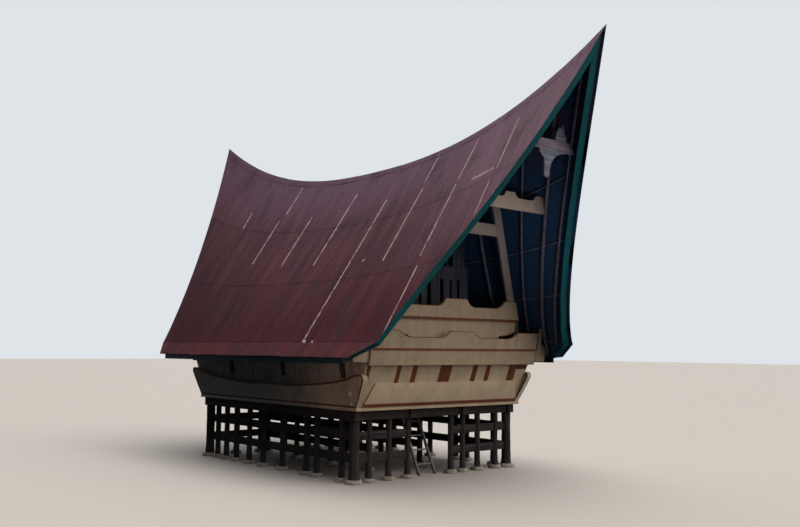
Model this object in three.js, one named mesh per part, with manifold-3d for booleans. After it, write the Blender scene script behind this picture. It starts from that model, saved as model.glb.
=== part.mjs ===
// A Batak house on posts, with a saddle roof of corrugated sheets.
// Millimetres. X points right across the front, Y to the rear and Z up. The front gable faces -Y.
// The origin lies on the ground, below the middle of the roof.
import * as THREE from "three";
import { mergeVertices } from "three/addons/utils/BufferGeometryUtils.js";
import Module from "manifold-3d";

const wasm = await Module();
wasm.setup();

// Pieces that touch keep this gap, and cutting shapes reach past all pieces.
const gap = 0.3;
const farAway = 12000;

// Roof: the sheets run straight from the ridge to a kink, then flatter to the eave.
// The ridge climbs to both gables.
const roofHalfWidth = 3500;
const roofHalfLength = 7820;
const eaveHeight = 2830;
const kinkHalfWidth = 3180;
const kinkHeight = 3170;
const ridgeMiddleHeight = 7775;
const ridgeTipRise = 1995;
const ridgeSagPower = 2.42;
const sheetThickness = 20;

// Each gable edge leans out from a kink near the eave to the tip,
// and a short corner is cut off below the kink.
const kinkShare = kinkHalfWidth / roofHalfWidth;
const gableSweepPower = 1.3;
const frontGable = { sign: -1, eaveReach: 3700, kinkReach: 4300 };
const rearGable = { sign: 1, eaveReach: 5250, kinkReach: 5700 };

// Roof timber, as depths below the top of the sheets.
const purlinShares = [0.06, 0.28, 0.48, 0.68, 0.88];
const purlinHalfShare = 0.007;
const purlinBottom = 65;
const purlinSetback = 300;
const rafterPlaces = [-0.96, -0.868, -0.74, -0.5, -0.3, -0.1, 0.1, 0.3, 0.5, 0.74, 0.868, 0.96];
const rafterTop = 60;
const rafterBottom = 150;
const rafterHalfWidth = 40;
const rafterHeadShare = 0.015;
const rafterClearance = 2;
const plateClearance = 0.5;
const edgeRafterPlace = 0.9;
const edgeRafterEnd = 0.88;
const ridgePoleHalfWidth = 60;
const ridgePoleHeight = 130;
const ridgePoleNotch = 15;
const ridgePoleReach = 6700;

// Edge boards.
const bargeboardSetback = 90;
const bargeboardWidth = 215;
const bargeboardThickness = 30;
const fasciaInner = 3420;
const fasciaOuter = 3450;
const fasciaBottom = 2690;
const fasciaTop = 3100;
const fasciaSetback = 250;
const ridgeCapThickness = 6;

// Body: the walls lean out from the sill.
const floorHeight = 1620;
const sillHeight = 75;
const sillWidth = 180;
const sillHalfWidth = 2660;
const frontFoot = -2930;
const rearFoot = 4300;
const sideLean = 0.15;
const gableWallLean = 0.37;
const sideBoardFoot = 2640;
const sideBoardThickness = 130;
const wallThickness = 35;
const wallTop = 2720;
const endBoardThickness = 50;

// Wall plates and the loft frame between them.
const plateInner = 2660;
const plateOuter = 3120;
const plateTop = 3150;
const loftBeamHeight = 380;
const loftBeamWidth = 150;
const loftJoistPlace = 1000;

// Ledges across each gable.
const ledgeFoot = 2640;
const ledgeLean = 0.2;
const ledgeThickness = 50;
const ledgeBackAtFoot = 440;
const lowerLedgeHalfWidth = 2720;
const middleLedgeBack = 340;
const middleLedge = { footHalf: 1500, topHalf: 2100, foot: 2850, shoulder: 3340, end: 3650 };
const middleLedgeTop = 3740;
const upperLedgeFront = 440;
const upperLedgeTop = 4230;

// Posts, base stones and tie planks.
const stoneHeight = 90;
const postTop = 1400;
const postRadius = 75;
const cornerPostRadius = 120;
const footFlare = 1.15;
const stoneMarginAtTop = 85;
const stoneMarginAtFoot = 120;
const postSeat = 10;
const frontRow = -2640;
const rearRow = 4010;
const sideRow = 2480;
const tieLevels = [460, 950];
const tieHeight = 195;
const tieThickness = 50;

// Entry ladder and the hatch above it.
const ladderMiddle = -150;
const ladderWidth = 560;
const ladderLean = 0.49;
const ladderFoot = -2500;
const ladderTop = 1760;
const railWidth = 50;
const railDepth = 70;
const railSpare = 200;
const rungHeights = [240, 570, 900, 1230];
const rungHalfDepth = 30;
const rungHalfHeight = 20;
const hatch = { left: -560, right: 260, front: -2350 };

// Colours.
const finishes = {
  creamPaint: { color: 0xb8a888, roughness: 0.75, metalness: 0 },
  weatheredWood: { color: 0x5c5a55, roughness: 0.9, metalness: 0 },
  darkWood: { color: 0x3e3a38, roughness: 0.9, metalness: 0 },
  greenPaint: { color: 0x1f6a58, roughness: 0.6, metalness: 0 },
  rustedSheet: { color: 0x6b3a36, roughness: 0.7, metalness: 0.3 },
};

const house = new THREE.Group();

function add(name, geometry, finish) {
  const mesh = new THREE.Mesh(geometry, new THREE.MeshStandardMaterial(finishes[finish]));
  mesh.name = name;
  house.add(mesh);
  return mesh;
}

// Joining and cutting

function solidOf(geometry) {
  const bare = new THREE.BufferGeometry();
  const loose = geometry.index ? geometry.toNonIndexed() : geometry;
  bare.setAttribute("position", loose.getAttribute("position"));
  const merged = mergeVertices(bare, 1e-3);
  const mesh = new wasm.Mesh({
    numProp: 3,
    vertProperties: merged.getAttribute("position").array,
    triVerts: new Uint32Array(merged.index.array),
  });
  return new wasm.Manifold(mesh);
}

function geometryOf(solid) {
  const mesh = solid.getMesh();
  const geometry = new THREE.BufferGeometry();
  geometry.setAttribute("position", new THREE.BufferAttribute(mesh.vertProperties, 3));
  geometry.setIndex(new THREE.BufferAttribute(mesh.triVerts, 1));
  geometry.computeVertexNormals();
  return geometry;
}

function join(geometries) {
  return geometryOf(geometries.map(solidOf).reduce((whole, piece) => whole.add(piece)));
}

function cut(geometry, tool) {
  return geometryOf(solidOf(geometry).subtract(solidOf(tool)));
}

function trim(geometry, space) {
  return geometryOf(solidOf(geometry).intersect(solidOf(space)));
}

// Basic shapes

function box(x0, x1, y0, y1, z0, z1) {
  const shape = new THREE.BoxGeometry(x1 - x0, y1 - y0, z1 - z0);
  return shape.translate((x0 + x1) / 2, (y0 + y1) / 2, (z0 + z1) / 2);
}

// A closed slab between two grids of points that have the same rows and columns.
function slab(top, bottom) {
  const rows = top.length;
  const columns = top[0].length;
  const points = [...top.flat(), ...bottom.flat()];
  const faces = [];
  const index = (layer, row, column) => (layer * rows + row) * columns + column;
  const quad = (a, b, c, d) => faces.push([a, b, c], [a, c, d]);
  for (let i = 0; i < rows - 1; i++) {
    for (let j = 0; j < columns - 1; j++) {
      quad(index(0, i, j), index(0, i, j + 1), index(0, i + 1, j + 1), index(0, i + 1, j));
      quad(index(1, i, j), index(1, i + 1, j), index(1, i + 1, j + 1), index(1, i, j + 1));
    }
  }
  for (let j = 0; j < columns - 1; j++) {
    quad(index(1, 0, j), index(1, 0, j + 1), index(0, 0, j + 1), index(0, 0, j));
    const end = rows - 1;
    quad(index(0, end, j), index(0, end, j + 1), index(1, end, j + 1), index(1, end, j));
  }
  for (let i = 0; i < rows - 1; i++) {
    quad(index(0, i, 0), index(0, i + 1, 0), index(1, i + 1, 0), index(1, i, 0));
    const last = columns - 1;
    quad(index(1, i, last), index(1, i + 1, last), index(0, i + 1, last), index(0, i, last));
  }
  return facingOut(points, faces);
}

// A mesh of points and faces, turned so that its faces point outwards.
function facingOut(points, faces) {
  const share = ([a, b, c]) => points[a].dot(points[b].clone().cross(points[c]));
  const volume = faces.reduce((sum, face) => sum + share(face), 0);
  const turned = volume < 0 ? faces.map(([a, b, c]) => [a, c, b]) : faces;
  const geometry = new THREE.BufferGeometry().setFromPoints(points);
  geometry.setIndex(turned.flat());
  geometry.computeVertexNormals();
  return geometry;
}

function extruded(outline, depth) {
  return new THREE.ExtrudeGeometry(outline, { depth, bevelEnabled: false, curveSegments: 6 });
}

// A board cut to an outline of x and z, with its front face on a plane that leans outwards as it rises.
// The face passes through y = face at z = level.
function crossBoard(outline, gable, face, level, lean, thickness) {
  const board = extruded(outline, thickness);
  const inwards = -gable.sign;
  const place = new THREE.Matrix4().set(
    1, 0, 0, 0,
    0, gable.sign * lean, inwards, face - gable.sign * lean * level,
    0, 1, 0, 0,
    0, 0, 0, 1,
  );
  return outwards(board.applyMatrix4(place));
}

// A board cut to an outline of y and z, along one side of the house, that leans outwards as it rises.
// Its outer face lies at x = face where z = level.
function sideBoard(outline, side, face, level, lean, thickness) {
  const board = extruded(outline, thickness);
  const place = new THREE.Matrix4().set(
    0, side * lean, -side, side * (face - lean * level),
    1, 0, 0, 0,
    0, 1, 0, 0,
    0, 0, 0, 1,
  );
  return outwards(board.applyMatrix4(place));
}

function outwards(geometry) {
  const bare = new THREE.BufferGeometry();
  bare.setAttribute("position", geometry.getAttribute("position"));
  const merged = mergeVertices(bare, 1e-3);
  const position = merged.getAttribute("position");
  const pointAt = (_, i) => new THREE.Vector3().fromBufferAttribute(position, i);
  const points = Array.from({ length: position.count }, pointAt);
  const index = merged.index.array;
  const faceAt = (_, i) => [index[3 * i], index[3 * i + 1], index[3 * i + 2]];
  const faces = Array.from({ length: index.length / 3 }, faceAt);
  return facingOut(points, faces);
}

function polygon(points) {
  return new THREE.Shape(points.map(([u, v]) => new THREE.Vector2(u, v)));
}

// Roof surface

function ridgeHeight(y) {
  return ridgeMiddleHeight + ridgeTipRise * (Math.abs(y) / roofHalfLength) ** ridgeSagPower;
}

function sheetHeight(x, y) {
  const out = Math.abs(x);
  if (out > kinkHalfWidth) {
    const below = (out - kinkHalfWidth) / (roofHalfWidth - kinkHalfWidth);
    return kinkHeight - (kinkHeight - eaveHeight) * below;
  }
  const ridge = ridgeHeight(y);
  return ridge - ((ridge - kinkHeight) * out) / kinkHalfWidth;
}

// Height lost for each millimetre of depth square to the sheets.
function depthFactor(y) {
  return Math.hypot(kinkHalfWidth, ridgeHeight(y) - kinkHeight) / kinkHalfWidth;
}

// How far the sheets reach towards a gable, at a share of the way from the ridge to the eave.
function reach(gable, share) {
  if (share > kinkShare) {
    const below = (share - kinkShare) / (1 - kinkShare);
    return gable.kinkReach + (gable.eaveReach - gable.kinkReach) * below;
  }
  return gable.kinkReach + (roofHalfLength - gable.kinkReach) * (1 - share / kinkShare) ** gableSweepPower;
}

// Stations run from the front edge, -2, to the rear edge, 2.
// Between -1 and 1 lies the stretch that has purlins and rafters.
const extraPlace = 0.62;
const stations = [-2, -1, -extraPlace, ...rafterPlaces, extraPlace, 1, 2].sort((a, b) => a - b);

function stationPlace(share, station) {
  const gable = station < 0 ? frontGable : rearGable;
  const whole = reach(gable, share);
  return Math.abs(station) > 1 ? gable.sign * whole : station * (whole - purlinSetback);
}

function underSheet(x, y, depth) {
  return new THREE.Vector3(x, y, sheetHeight(x, y) - depth * depthFactor(y));
}

function roofRow(side, share, depth, places = stations) {
  const x = side * roofHalfWidth * share;
  return places.map((station) => underSheet(x, stationPlace(share, station), depth));
}

const purlinEdges = purlinShares.flatMap((share) => [share - purlinHalfShare, share + purlinHalfShare]);
const betweenPurlins = purlinShares.slice(1).map((share, i) => (share + purlinShares[i]) / 2);
const sheetShares = [0, ...purlinEdges, ...betweenPurlins, kinkShare, 1].sort((a, b) => a - b);

// The space under the roof, down to well below the ground, used to cut pieces to the roof's form.
function spaceUnder(depth) {
  return join([-1, 1].map((side) => {
    const top = sheetShares.map((share) => roofRow(side, share, depth));
    const bottom = top.map((row) => row.map((point) => point.clone().setZ(-farAway)));
    return slab(top, bottom);
  }));
}

// Roof sheets, one curved slope on each side
function roofSlope(side) {
  const top = sheetShares.map((share) => roofRow(side, share, 0));
  const bottom = sheetShares.map((share) => roofRow(side, share, sheetThickness));
  for (const row of [top[0], bottom[0]]) {
    row.forEach((point) => point.setX((side * gap) / 2));
  }
  return slab(top, bottom);
}

// Ridge cap, folded over the top of both slopes as far as the first purlin
function ridgeCap() {
  const flap = (side) => {
    const rows = (depth) => [0, purlinEdges[0]].map((share) => roofRow(side, share, depth));
    return slab(rows(-gap - ridgeCapThickness), rows(-gap));
  };
  return join([flap(-1), flap(1)]);
}

// Purlins and rafters of one slope, fixed together where they cross
function roofFrame(side) {
  const purlinStations = stations.filter((station) => Math.abs(station) <= 1);
  const purlins = purlinShares.map((share) => {
    const edges = [share - purlinHalfShare, share + purlinHalfShare];
    const top = edges.map((edge) => roofRow(side, edge, sheetThickness + gap, purlinStations));
    const bottom = edges.map((edge) => roofRow(side, edge, purlinBottom, purlinStations));
    return slab(top, bottom);
  });
  const rafters = rafterPlaces.map((place) => {
    const atEdge = Math.abs(place) > edgeRafterPlace;
    const foot = atEdge ? [edgeRafterEnd] : [kinkShare, (fasciaInner - gap) / roofHalfWidth];
    const shares = [rafterHeadShare, ...purlinShares, ...betweenPurlins, ...foot].sort((a, b) => a - b);
    const edge = (depth) => shares.map((share) => {
      const x = side * roofHalfWidth * share;
      const y = stationPlace(share, place);
      return [y - rafterHalfWidth, y + rafterHalfWidth].map((across) => underSheet(x, across, depth));
    });
    return slab(edge(rafterTop), edge(rafterBottom));
  });
  return cut(join([...purlins, ...rafters]), ridgePole(gap));
}

// Ridge pole: the heads of the rafters are notched over it
function ridgePole(margin) {
  const inner = stations.filter((station) => Math.abs(station) <= 1);
  const places = inner.map((station) => station * ridgePoleReach);
  const top = (y) => underSheet(ridgePoleHalfWidth, y, rafterBottom - ridgePoleNotch).z + margin;
  const row = (x, drop) => places.map((y) => new THREE.Vector3(x, y, top(y) - drop));
  const sides = [-ridgePoleHalfWidth - margin, ridgePoleHalfWidth + margin];
  return slab(sides.map((x) => row(x, 0)), sides.map((x) => row(x, ridgePoleHeight + 2 * margin)));
}

// Bargeboard: a strip below the gable edge of one slope, in the leaning plane of the gable
function bargeboard(side, gable) {
  const shares = [0.01, 0.12, 0.25, 0.4, 0.55, 0.7, 0.83, kinkShare, 0.995];
  const edge = shares.map((share) => {
    const y = gable.sign * (reach(gable, share) - bargeboardSetback);
    const point = underSheet(side * roofHalfWidth * share, y, sheetThickness);
    return point.setZ(point.z + bargeboardThickness);
  });
  const sections = edge.map((point, i) => {
    const along = edge[Math.min(i + 1, edge.length - 1)].clone().sub(edge[Math.max(i - 1, 0)]);
    const fall = Math.hypot(along.y, along.z);
    const run = Math.abs(along.x);
    const slant = run / fall;
    const across = new THREE.Vector3(-side * fall, slant * along.y, slant * along.z).normalize();
    const back = new THREE.Vector3(0, along.z, -along.y).normalize().multiplyScalar(bargeboardThickness);
    if (back.y * gable.sign > 0) back.negate();
    const inner = point.clone().addScaledVector(across, bargeboardWidth);
    return { outer: [point, point.clone().add(back)], inner: [inner, inner.clone().add(back)] };
  });
  const strip = slab(sections.map((s) => s.outer), sections.map((s) => s.inner));
  const across = side < 0 ? [-farAway, -gap / 2] : [gap / 2, farAway];
  const own = box(...across, -farAway, farAway, 0, farAway);
  return trim(trim(strip, spaceUnder(sheetThickness + gap)), own);
}

// Eave board along the feet of the rafters
function eaveFascia(side) {
  const front = -(frontGable.eaveReach - fasciaSetback);
  const rear = rearGable.eaveReach - fasciaSetback;
  const inner = side * fasciaInner;
  const outer = side * fasciaOuter;
  const board = box(Math.min(inner, outer), Math.max(inner, outer), front, rear, fasciaBottom, fasciaTop);
  return trim(board, spaceUnder(sheetThickness + gap));
}

for (const [side, name] of [[-1, "left"], [1, "right"]]) {
  add("roof_" + name, roofSlope(side), "rustedSheet");
  add("roof_frame_" + name, roofFrame(side), "darkWood");
  add("bargeboard_front_" + name, bargeboard(side, frontGable), "greenPaint");
  add("bargeboard_rear_" + name, bargeboard(side, rearGable), "greenPaint");
  add("eave_board_" + name, eaveFascia(side), "greenPaint");
}
add("ridge_cap", ridgeCap(), "rustedSheet");
add("ridge_pole", ridgePole(0), "darkWood");

// Post rows: each post stands on a flat stone, and two levels of planks run through the posts

function post(x, y, radius) {
  const foot = stoneHeight - postSeat;
  const shaft = new THREE.CylinderGeometry(radius, radius * footFlare, postTop - foot, 8);
  const stoneTop = radius + stoneMarginAtTop;
  const stone = new THREE.CylinderGeometry(stoneTop, radius + stoneMarginAtFoot, stoneHeight, 7);
  for (const shape of [shaft, stone]) shape.rotateX(Math.PI / 2);
  return [shaft.translate(x, y, (postTop + foot) / 2), stone.translate(x, y, stoneHeight / 2)];
}

function postRowAcross(y, places, from, to) {
  const half = tieThickness / 2;
  const ties = tieLevels.map((z) => box(from, to, y - half, y + half, z, z + tieHeight));
  const posts = places.flatMap(([x, radius]) => post(x, y, radius));
  return join([...ties, ...posts]);
}

function postRowAlong(x, places, from, to) {
  const half = tieThickness / 2;
  const ties = tieLevels.map((z) => box(x - half, x + half, from, to, z, z + tieHeight));
  const posts = places.flatMap((y) => post(x, y, postRadius));
  return join([...ties, ...posts]);
}

const cornerClear = cornerPostRadius * footFlare + gap;
const entryPosts = { left: -900, right: 500 };
const slim = (places) => places.map((x) => [x, postRadius]);
const corner = (side) => [side * sideRow, cornerPostRadius];
const frontLeftPosts = [corner(-1), ...slim([-2060, -1480, entryPosts.left])];
const frontRightPosts = [...slim([entryPosts.right, 900, 1420, 2060]), corner(1)];
const rearPosts = [corner(-1), ...slim([-1650, -850, 0, 850, 1650]), corner(1)];
const sidePosts = [-2180, -1190, -760, 290, 1210, 1890, 2540, 3080, 3560];
const innerRowPlace = 850;
const innerPosts = [-1100, 500, 2100, 3600];

const leftRow = postRowAcross(frontRow, frontLeftPosts, -sideRow, entryPosts.left);
add("front_posts_left", leftRow, "weatheredWood");
const rightRow = postRowAcross(frontRow, frontRightPosts, entryPosts.right, sideRow);
add("front_posts_right", rightRow, "weatheredWood");
add("rear_posts", postRowAcross(rearRow, rearPosts, -sideRow, sideRow), "weatheredWood");
for (const [side, name] of [[-1, "left"], [1, "right"]]) {
  const row = postRowAlong(side * sideRow, sidePosts, frontRow + cornerClear, rearRow - cornerClear);
  add("side_posts_" + name, row, "weatheredWood");
  const innerRow = postRowAlong(side * innerRowPlace, innerPosts, innerPosts[0], innerPosts.at(-1));
  add("inner_posts_" + name, innerRow, "weatheredWood");
}

// Floor frame: side beams, beams on the inner rows and cross beams, with trimmers round the hatch
const floorBoardTop = 1650;
const railHalfAcross = (railDepth / 2) * Math.hypot(1, ladderLean);
const hatchRear = ladderFoot + ladderLean * floorBoardTop + railHalfAcross + gap;
const floorFrameTop = floorHeight - gap;
const floorFrameBottom = postTop + gap;
const beamHalf = 90;
const floorSideBeam = 2500;
const beamOverhang = 160;
const hatchTrimmerRear = -1500;
const beam = (x0, x1, y0, y1) => box(x0, x1, y0, y1, floorFrameBottom, floorFrameTop);
const floorFrameFront = frontRow - beamOverhang;
const floorFrameRear = rearRow + beamOverhang;
const crossBeamPlaces = [frontRow, -1500, -300, 900, 2100, 3100, rearRow];
add("floor_frame", join([
  ...[-floorSideBeam, -innerRowPlace, innerRowPlace, floorSideBeam].map(
    (x) => beam(x - beamHalf, x + beamHalf, floorFrameFront, floorFrameRear),
  ),
  ...crossBeamPlaces.map((y) => beam(-floorSideBeam, floorSideBeam, y - beamHalf, y + beamHalf)),
  beam(-innerRowPlace, innerRowPlace, hatchRear, hatchTrimmerRear),
]), "darkWood");

// Floor boards, with the hatch cut through
const floorHalfWidth = sillHalfWidth - sillWidth - gap;
const floorFront = frontFoot + sillWidth + gap;
const floorRear = rearFoot - sillWidth - gap;
add("floor_boards", cut(
  box(-floorHalfWidth, floorHalfWidth, floorFront, floorRear, floorHeight, floorBoardTop),
  box(hatch.left, hatch.right, hatch.front, hatchRear, 0, farAway),
), "darkWood");

// Sill: a low frame on the floor beams that the walls stand on
add("sill_frame", cut(
  box(-sillHalfWidth, sillHalfWidth, frontFoot, rearFoot, floorHeight, floorHeight + sillHeight),
  box(-floorHalfWidth - gap, floorHalfWidth + gap, floorFront - gap, floorRear + gap, 0, farAway),
), "creamPaint");

// Side boards: long, boat-shaped, with upturned rounded ends
const boardFoot = floorHeight + sillHeight + gap;
const boardTopMiddle = 2115;
const tipHeight = 2450;
const tipReach = 370;
const tipRound = 120;
const upturn = { start: 3650, bend: 2000, neck: 320, neckHeight: 2250 };

function sideBoardOutline() {
  const front = frontFoot + 20;
  const rear = rearFoot - 20;
  const shape = new THREE.Shape();
  shape.moveTo(front, boardFoot);
  shape.lineTo(rear, boardFoot);
  shape.quadraticCurveTo(rear + tipReach * 0.55, 2000, rear + tipReach, tipHeight - tipRound);
  shape.quadraticCurveTo(rear + tipReach, tipHeight, rear + tipReach - tipRound, tipHeight);
  shape.lineTo(rear + 60, tipHeight - 15);
  shape.bezierCurveTo(
    rear + 60 - upturn.neck, upturn.neckHeight,
    rear - upturn.bend, boardTopMiddle + 10,
    rear - upturn.start, boardTopMiddle,
  );
  shape.lineTo(front + upturn.start, boardTopMiddle);
  shape.bezierCurveTo(
    front + upturn.bend, boardTopMiddle + 10,
    front - 60 + upturn.neck, upturn.neckHeight,
    front - 60, tipHeight - 15,
  );
  shape.lineTo(front - tipReach + tipRound, tipHeight);
  shape.quadraticCurveTo(front - tipReach, tipHeight, front - tipReach, tipHeight - tipRound);
  shape.quadraticCurveTo(front - tipReach * 0.55, 2000, front, boardFoot);
  return shape;
}

// Side walls stand inside the side boards, and carry dark posts above them
const sideWallFace = sideBoardFoot - sideBoardThickness - gap;
const endWallFace = (gable) => {
  const foot = gable.sign < 0 ? frontFoot : rearFoot;
  return foot - gable.sign * (endBoardThickness + gap - 20);
};
const endWallInner = (gable, z) =>
  endWallFace(gable) + gable.sign * (gableWallLean * (z - boardFoot) - wallThickness - gap);
const wallBottom = boardFoot;
const wallPostPlaces = [-2420, 70, 2600];
const wallPostHalfWidth = 75;
const wallPostProud = 45;
const wallPostFoot = 2340;

function sideWall(side) {
  const outline = polygon([
    [endWallInner(frontGable, wallBottom), wallBottom],
    [endWallInner(rearGable, wallBottom), wallBottom],
    [endWallInner(rearGable, wallTop - gap), wallTop - gap],
    [endWallInner(frontGable, wallTop - gap), wallTop - gap],
  ]);
  const wall = sideBoard(outline, side, sideWallFace, floorHeight, sideLean, wallThickness);
  const posts = wallPostPlaces.map((y) => {
    const face = polygon([
      [y - wallPostHalfWidth, wallPostFoot],
      [y + wallPostHalfWidth, wallPostFoot],
      [y + wallPostHalfWidth, wallTop - gap],
      [y - wallPostHalfWidth, wallTop - gap],
    ]);
    const depth = wallPostProud + wallThickness / 2;
    return sideBoard(face, side, sideWallFace + wallPostProud, floorHeight, sideLean, depth);
  });
  return join([wall, ...posts]);
}

// Wall plate: a beam on top of each side wall, bevelled under the rafters,
// with ends cut to the lean of the ledges
function wallPlate(side) {
  const front = frontFoot - ledgeBackAtFoot + gap;
  const rear = rearFoot + ledgeBackAtFoot - gap;
  const rise = (z) => ledgeLean * (z - ledgeFoot);
  const outline = polygon([
    [front - rise(wallTop), wallTop],
    [rear + rise(wallTop), wallTop],
    [rear + rise(plateTop), plateTop],
    [front - rise(plateTop), plateTop],
  ]);
  const plate = sideBoard(outline, side, plateOuter, floorHeight, 0, plateOuter - plateInner);
  return trim(plate, spaceUnder(rafterBottom + plateClearance));
}

for (const [side, name] of [[-1, "left"], [1, "right"]]) {
  const outline = sideBoardOutline();
  const board = sideBoard(outline, side, sideBoardFoot, floorHeight, sideLean, sideBoardThickness);
  add("side_board_" + name, board, "creamPaint");
  add("side_wall_" + name, sideWall(side), "weatheredWood");
  add("wall_plate_" + name, wallPlate(side), "creamPaint");
}

// Loft frame: beams across, from plate to plate, joined by two joists
const frontLoftBeam = frontFoot - middleLedgeBack + gap;
const rearLoftBeam = rearFoot + middleLedgeBack - gap;
const gableWallPlace = { front: -2600, rear: 3950 };
const loftBeamEnd = plateInner - gap;
const loftBeam = (y0, y1) => box(-loftBeamEnd, loftBeamEnd, y0, y1, wallTop, wallTop + loftBeamHeight);
add("loft_frame", join([
  loftBeam(frontLoftBeam, frontLoftBeam + loftBeamWidth),
  loftBeam(gableWallPlace.front - loftBeamWidth / 2, gableWallPlace.front + loftBeamWidth / 2),
  loftBeam(gableWallPlace.rear - loftBeamWidth / 2, gableWallPlace.rear + loftBeamWidth / 2),
  loftBeam(rearLoftBeam - loftBeamWidth, rearLoftBeam),
  ...[-1, 1].map((side) => box(
    side * loftJoistPlace - 50, side * loftJoistPlace + 50,
    frontLoftBeam + 10, rearLoftBeam - 10, wallTop + 180, wallTop + 330,
  )),
]), "darkWood");

// End walls and the boards across the gables
function endWall(gable) {
  const halfWidth = (z) => sideWallFace + sideLean * (z - floorHeight);
  const shape = polygon([
    [-halfWidth(boardFoot), boardFoot],
    [halfWidth(boardFoot), boardFoot],
    [halfWidth(wallTop - gap), wallTop - gap],
    [-halfWidth(wallTop - gap), wallTop - gap],
  ]);
  return crossBoard(shape, gable, endWallFace(gable), boardFoot, gableWallLean, wallThickness);
}

const lowerBoardTop = 2240;
const lowerBoardFootHalf = 2495;
const lowerBoardTopHalf = 2280;

function lowerBoard(gable) {
  const shape = polygon([
    [-lowerBoardFootHalf, boardFoot],
    [lowerBoardFootHalf, boardFoot],
    [lowerBoardTopHalf, lowerBoardTop],
    [-lowerBoardTopHalf, lowerBoardTop],
  ]);
  const face = (gable.sign < 0 ? frontFoot : rearFoot) + gable.sign * 20;
  return crossBoard(shape, gable, face, boardFoot, gableWallLean, endBoardThickness);
}

// A ledge board with a raised middle, a dip on each side and raised ends
function scallopedOutline({ foot, top, dip, footHalf, topHalf, middleHalf, shoulder, endDip }) {
  const shape = new THREE.Shape();
  shape.moveTo(-footHalf, foot);
  shape.lineTo(footHalf, foot);
  shape.lineTo(topHalf, top);
  shape.lineTo(endDip + shoulder, top);
  shape.quadraticCurveTo(endDip + shoulder * 0.2, dip, endDip - shoulder * 0.6, dip);
  shape.lineTo(middleHalf + shoulder * 1.2, dip);
  shape.quadraticCurveTo(middleHalf + shoulder * 0.4, dip, middleHalf, top);
  shape.lineTo(-middleHalf, top);
  shape.quadraticCurveTo(-middleHalf - shoulder * 0.4, dip, -middleHalf - shoulder * 1.2, dip);
  shape.lineTo(-endDip + shoulder * 0.6, dip);
  shape.quadraticCurveTo(-endDip - shoulder * 0.2, dip, -endDip - shoulder, top);
  shape.lineTo(-topHalf, top);
  return shape;
}

function lowerLedge(gable) {
  const shape = scallopedOutline({
    foot: ledgeFoot, top: 3440, dip: 3290, footHalf: 2690, topHalf: lowerLedgeHalfWidth,
    middleHalf: 400, shoulder: 240, endDip: 1720,
  });
  const foot = gable.sign < 0 ? frontFoot : rearFoot;
  const face = foot + gable.sign * (ledgeBackAtFoot + ledgeThickness);
  return crossBoard(shape, gable, face, ledgeFoot, ledgeLean, ledgeThickness);
}

// A board whose ends curve up from a narrower foot, like the end of a boat
function middleLedgeBoard(gable) {
  const { footHalf, topHalf, foot, shoulder, end } = middleLedge;
  const shape = new THREE.Shape();
  shape.moveTo(-footHalf, foot);
  shape.lineTo(footHalf, foot);
  shape.lineTo(footHalf, shoulder);
  shape.quadraticCurveTo(topHalf - 80, shoulder + 50, topHalf, end);
  shape.lineTo(topHalf, middleLedgeTop - gap);
  shape.lineTo(-topHalf, middleLedgeTop - gap);
  shape.lineTo(-topHalf, end);
  shape.quadraticCurveTo(-topHalf + 80, shoulder + 50, -footHalf, shoulder);
  const wallFoot = gable.sign < 0 ? frontFoot : rearFoot;
  const face = wallFoot + gable.sign * (middleLedgeBack + ledgeThickness);
  return crossBoard(shape, gable, face, foot, 0, ledgeThickness);
}

function upperLedge(gable) {
  const shape = scallopedOutline({
    foot: middleLedgeTop, top: upperLedgeTop, dip: 4045, footHalf: 2200, topHalf: 2090,
    middleHalf: 360, shoulder: 220, endDip: 1480,
  });
  const foot = gable.sign < 0 ? frontFoot : rearFoot;
  return crossBoard(shape, gable, foot + gable.sign * upperLedgeFront, middleLedgeTop, 0, 70);
}

for (const [gable, name] of [[frontGable, "front"], [rearGable, "rear"]]) {
  add(name + "_wall", endWall(gable), "creamPaint");
  add(name + "_lower_board", lowerBoard(gable), "creamPaint");
  add(name + "_ledge_lower", lowerLedge(gable), "creamPaint");
  add(name + "_ledge_middle", middleLedgeBoard(gable), "creamPaint");
  add(name + "_ledge_upper", upperLedge(gable), "creamPaint");
}

// Gable walls, on the loft beams
const gableWallBottom = wallTop + loftBeamHeight + gap;
const gableWallThickness = 40;
add("front_gable_wall", crossBoard(
  polygon([
    [-1120, gableWallBottom], [1120, gableWallBottom], [1120, 5000],
    [900, 5800], [-900, 5800], [-1120, 5000],
  ]),
  frontGable, gableWallPlace.front - gableWallThickness / 2, 0, 0, gableWallThickness,
), "weatheredWood");
add("rear_gable_wall", trim(
  crossBoard(
    polygon([
      [-2200, gableWallBottom], [2200, gableWallBottom], [2200, 4200],
      [900, 6600], [-900, 6600], [-2200, 4200],
    ]),
    rearGable, gableWallPlace.rear + gableWallThickness / 2, 0, 0, gableWallThickness,
  ),
  spaceUnder(rafterBottom + gap),
), "weatheredWood");

// Gable legs: two boards that lean together and forwards, from the wall plates to a head beam,
// with a tie between them
const legFoot = { x: 2770, y: -2766, z: plateTop };
const legHead = { x: 480, y: -4196, z: 6400 };
const legWidth = 210;
const legThickness = 80;
const frameHeight = Math.hypot(legFoot.y - legHead.y, legHead.z - legFoot.z);
const frameTilt = Math.atan2(legFoot.y - legHead.y, legHead.z - legFoot.z);
const legHalfAcross = (legWidth / 2) * Math.hypot(1, (legFoot.x - legHead.x) / frameHeight);

const gableFrame = new THREE.Group();
gableFrame.position.set(0, legFoot.y, legFoot.z);
gableFrame.rotation.x = frameTilt;
house.add(gableFrame);

// Boards of the leaning frame are cut to an outline of x and of height along the lean
function frameBoard(name, outline, thickness) {
  const board = new THREE.ExtrudeGeometry(outline, { depth: thickness, bevelEnabled: false });
  board.rotateX(Math.PI / 2).translate(0, thickness / 2, 0);
  const mesh = add(name, board, "creamPaint");
  gableFrame.add(mesh);
}

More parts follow.
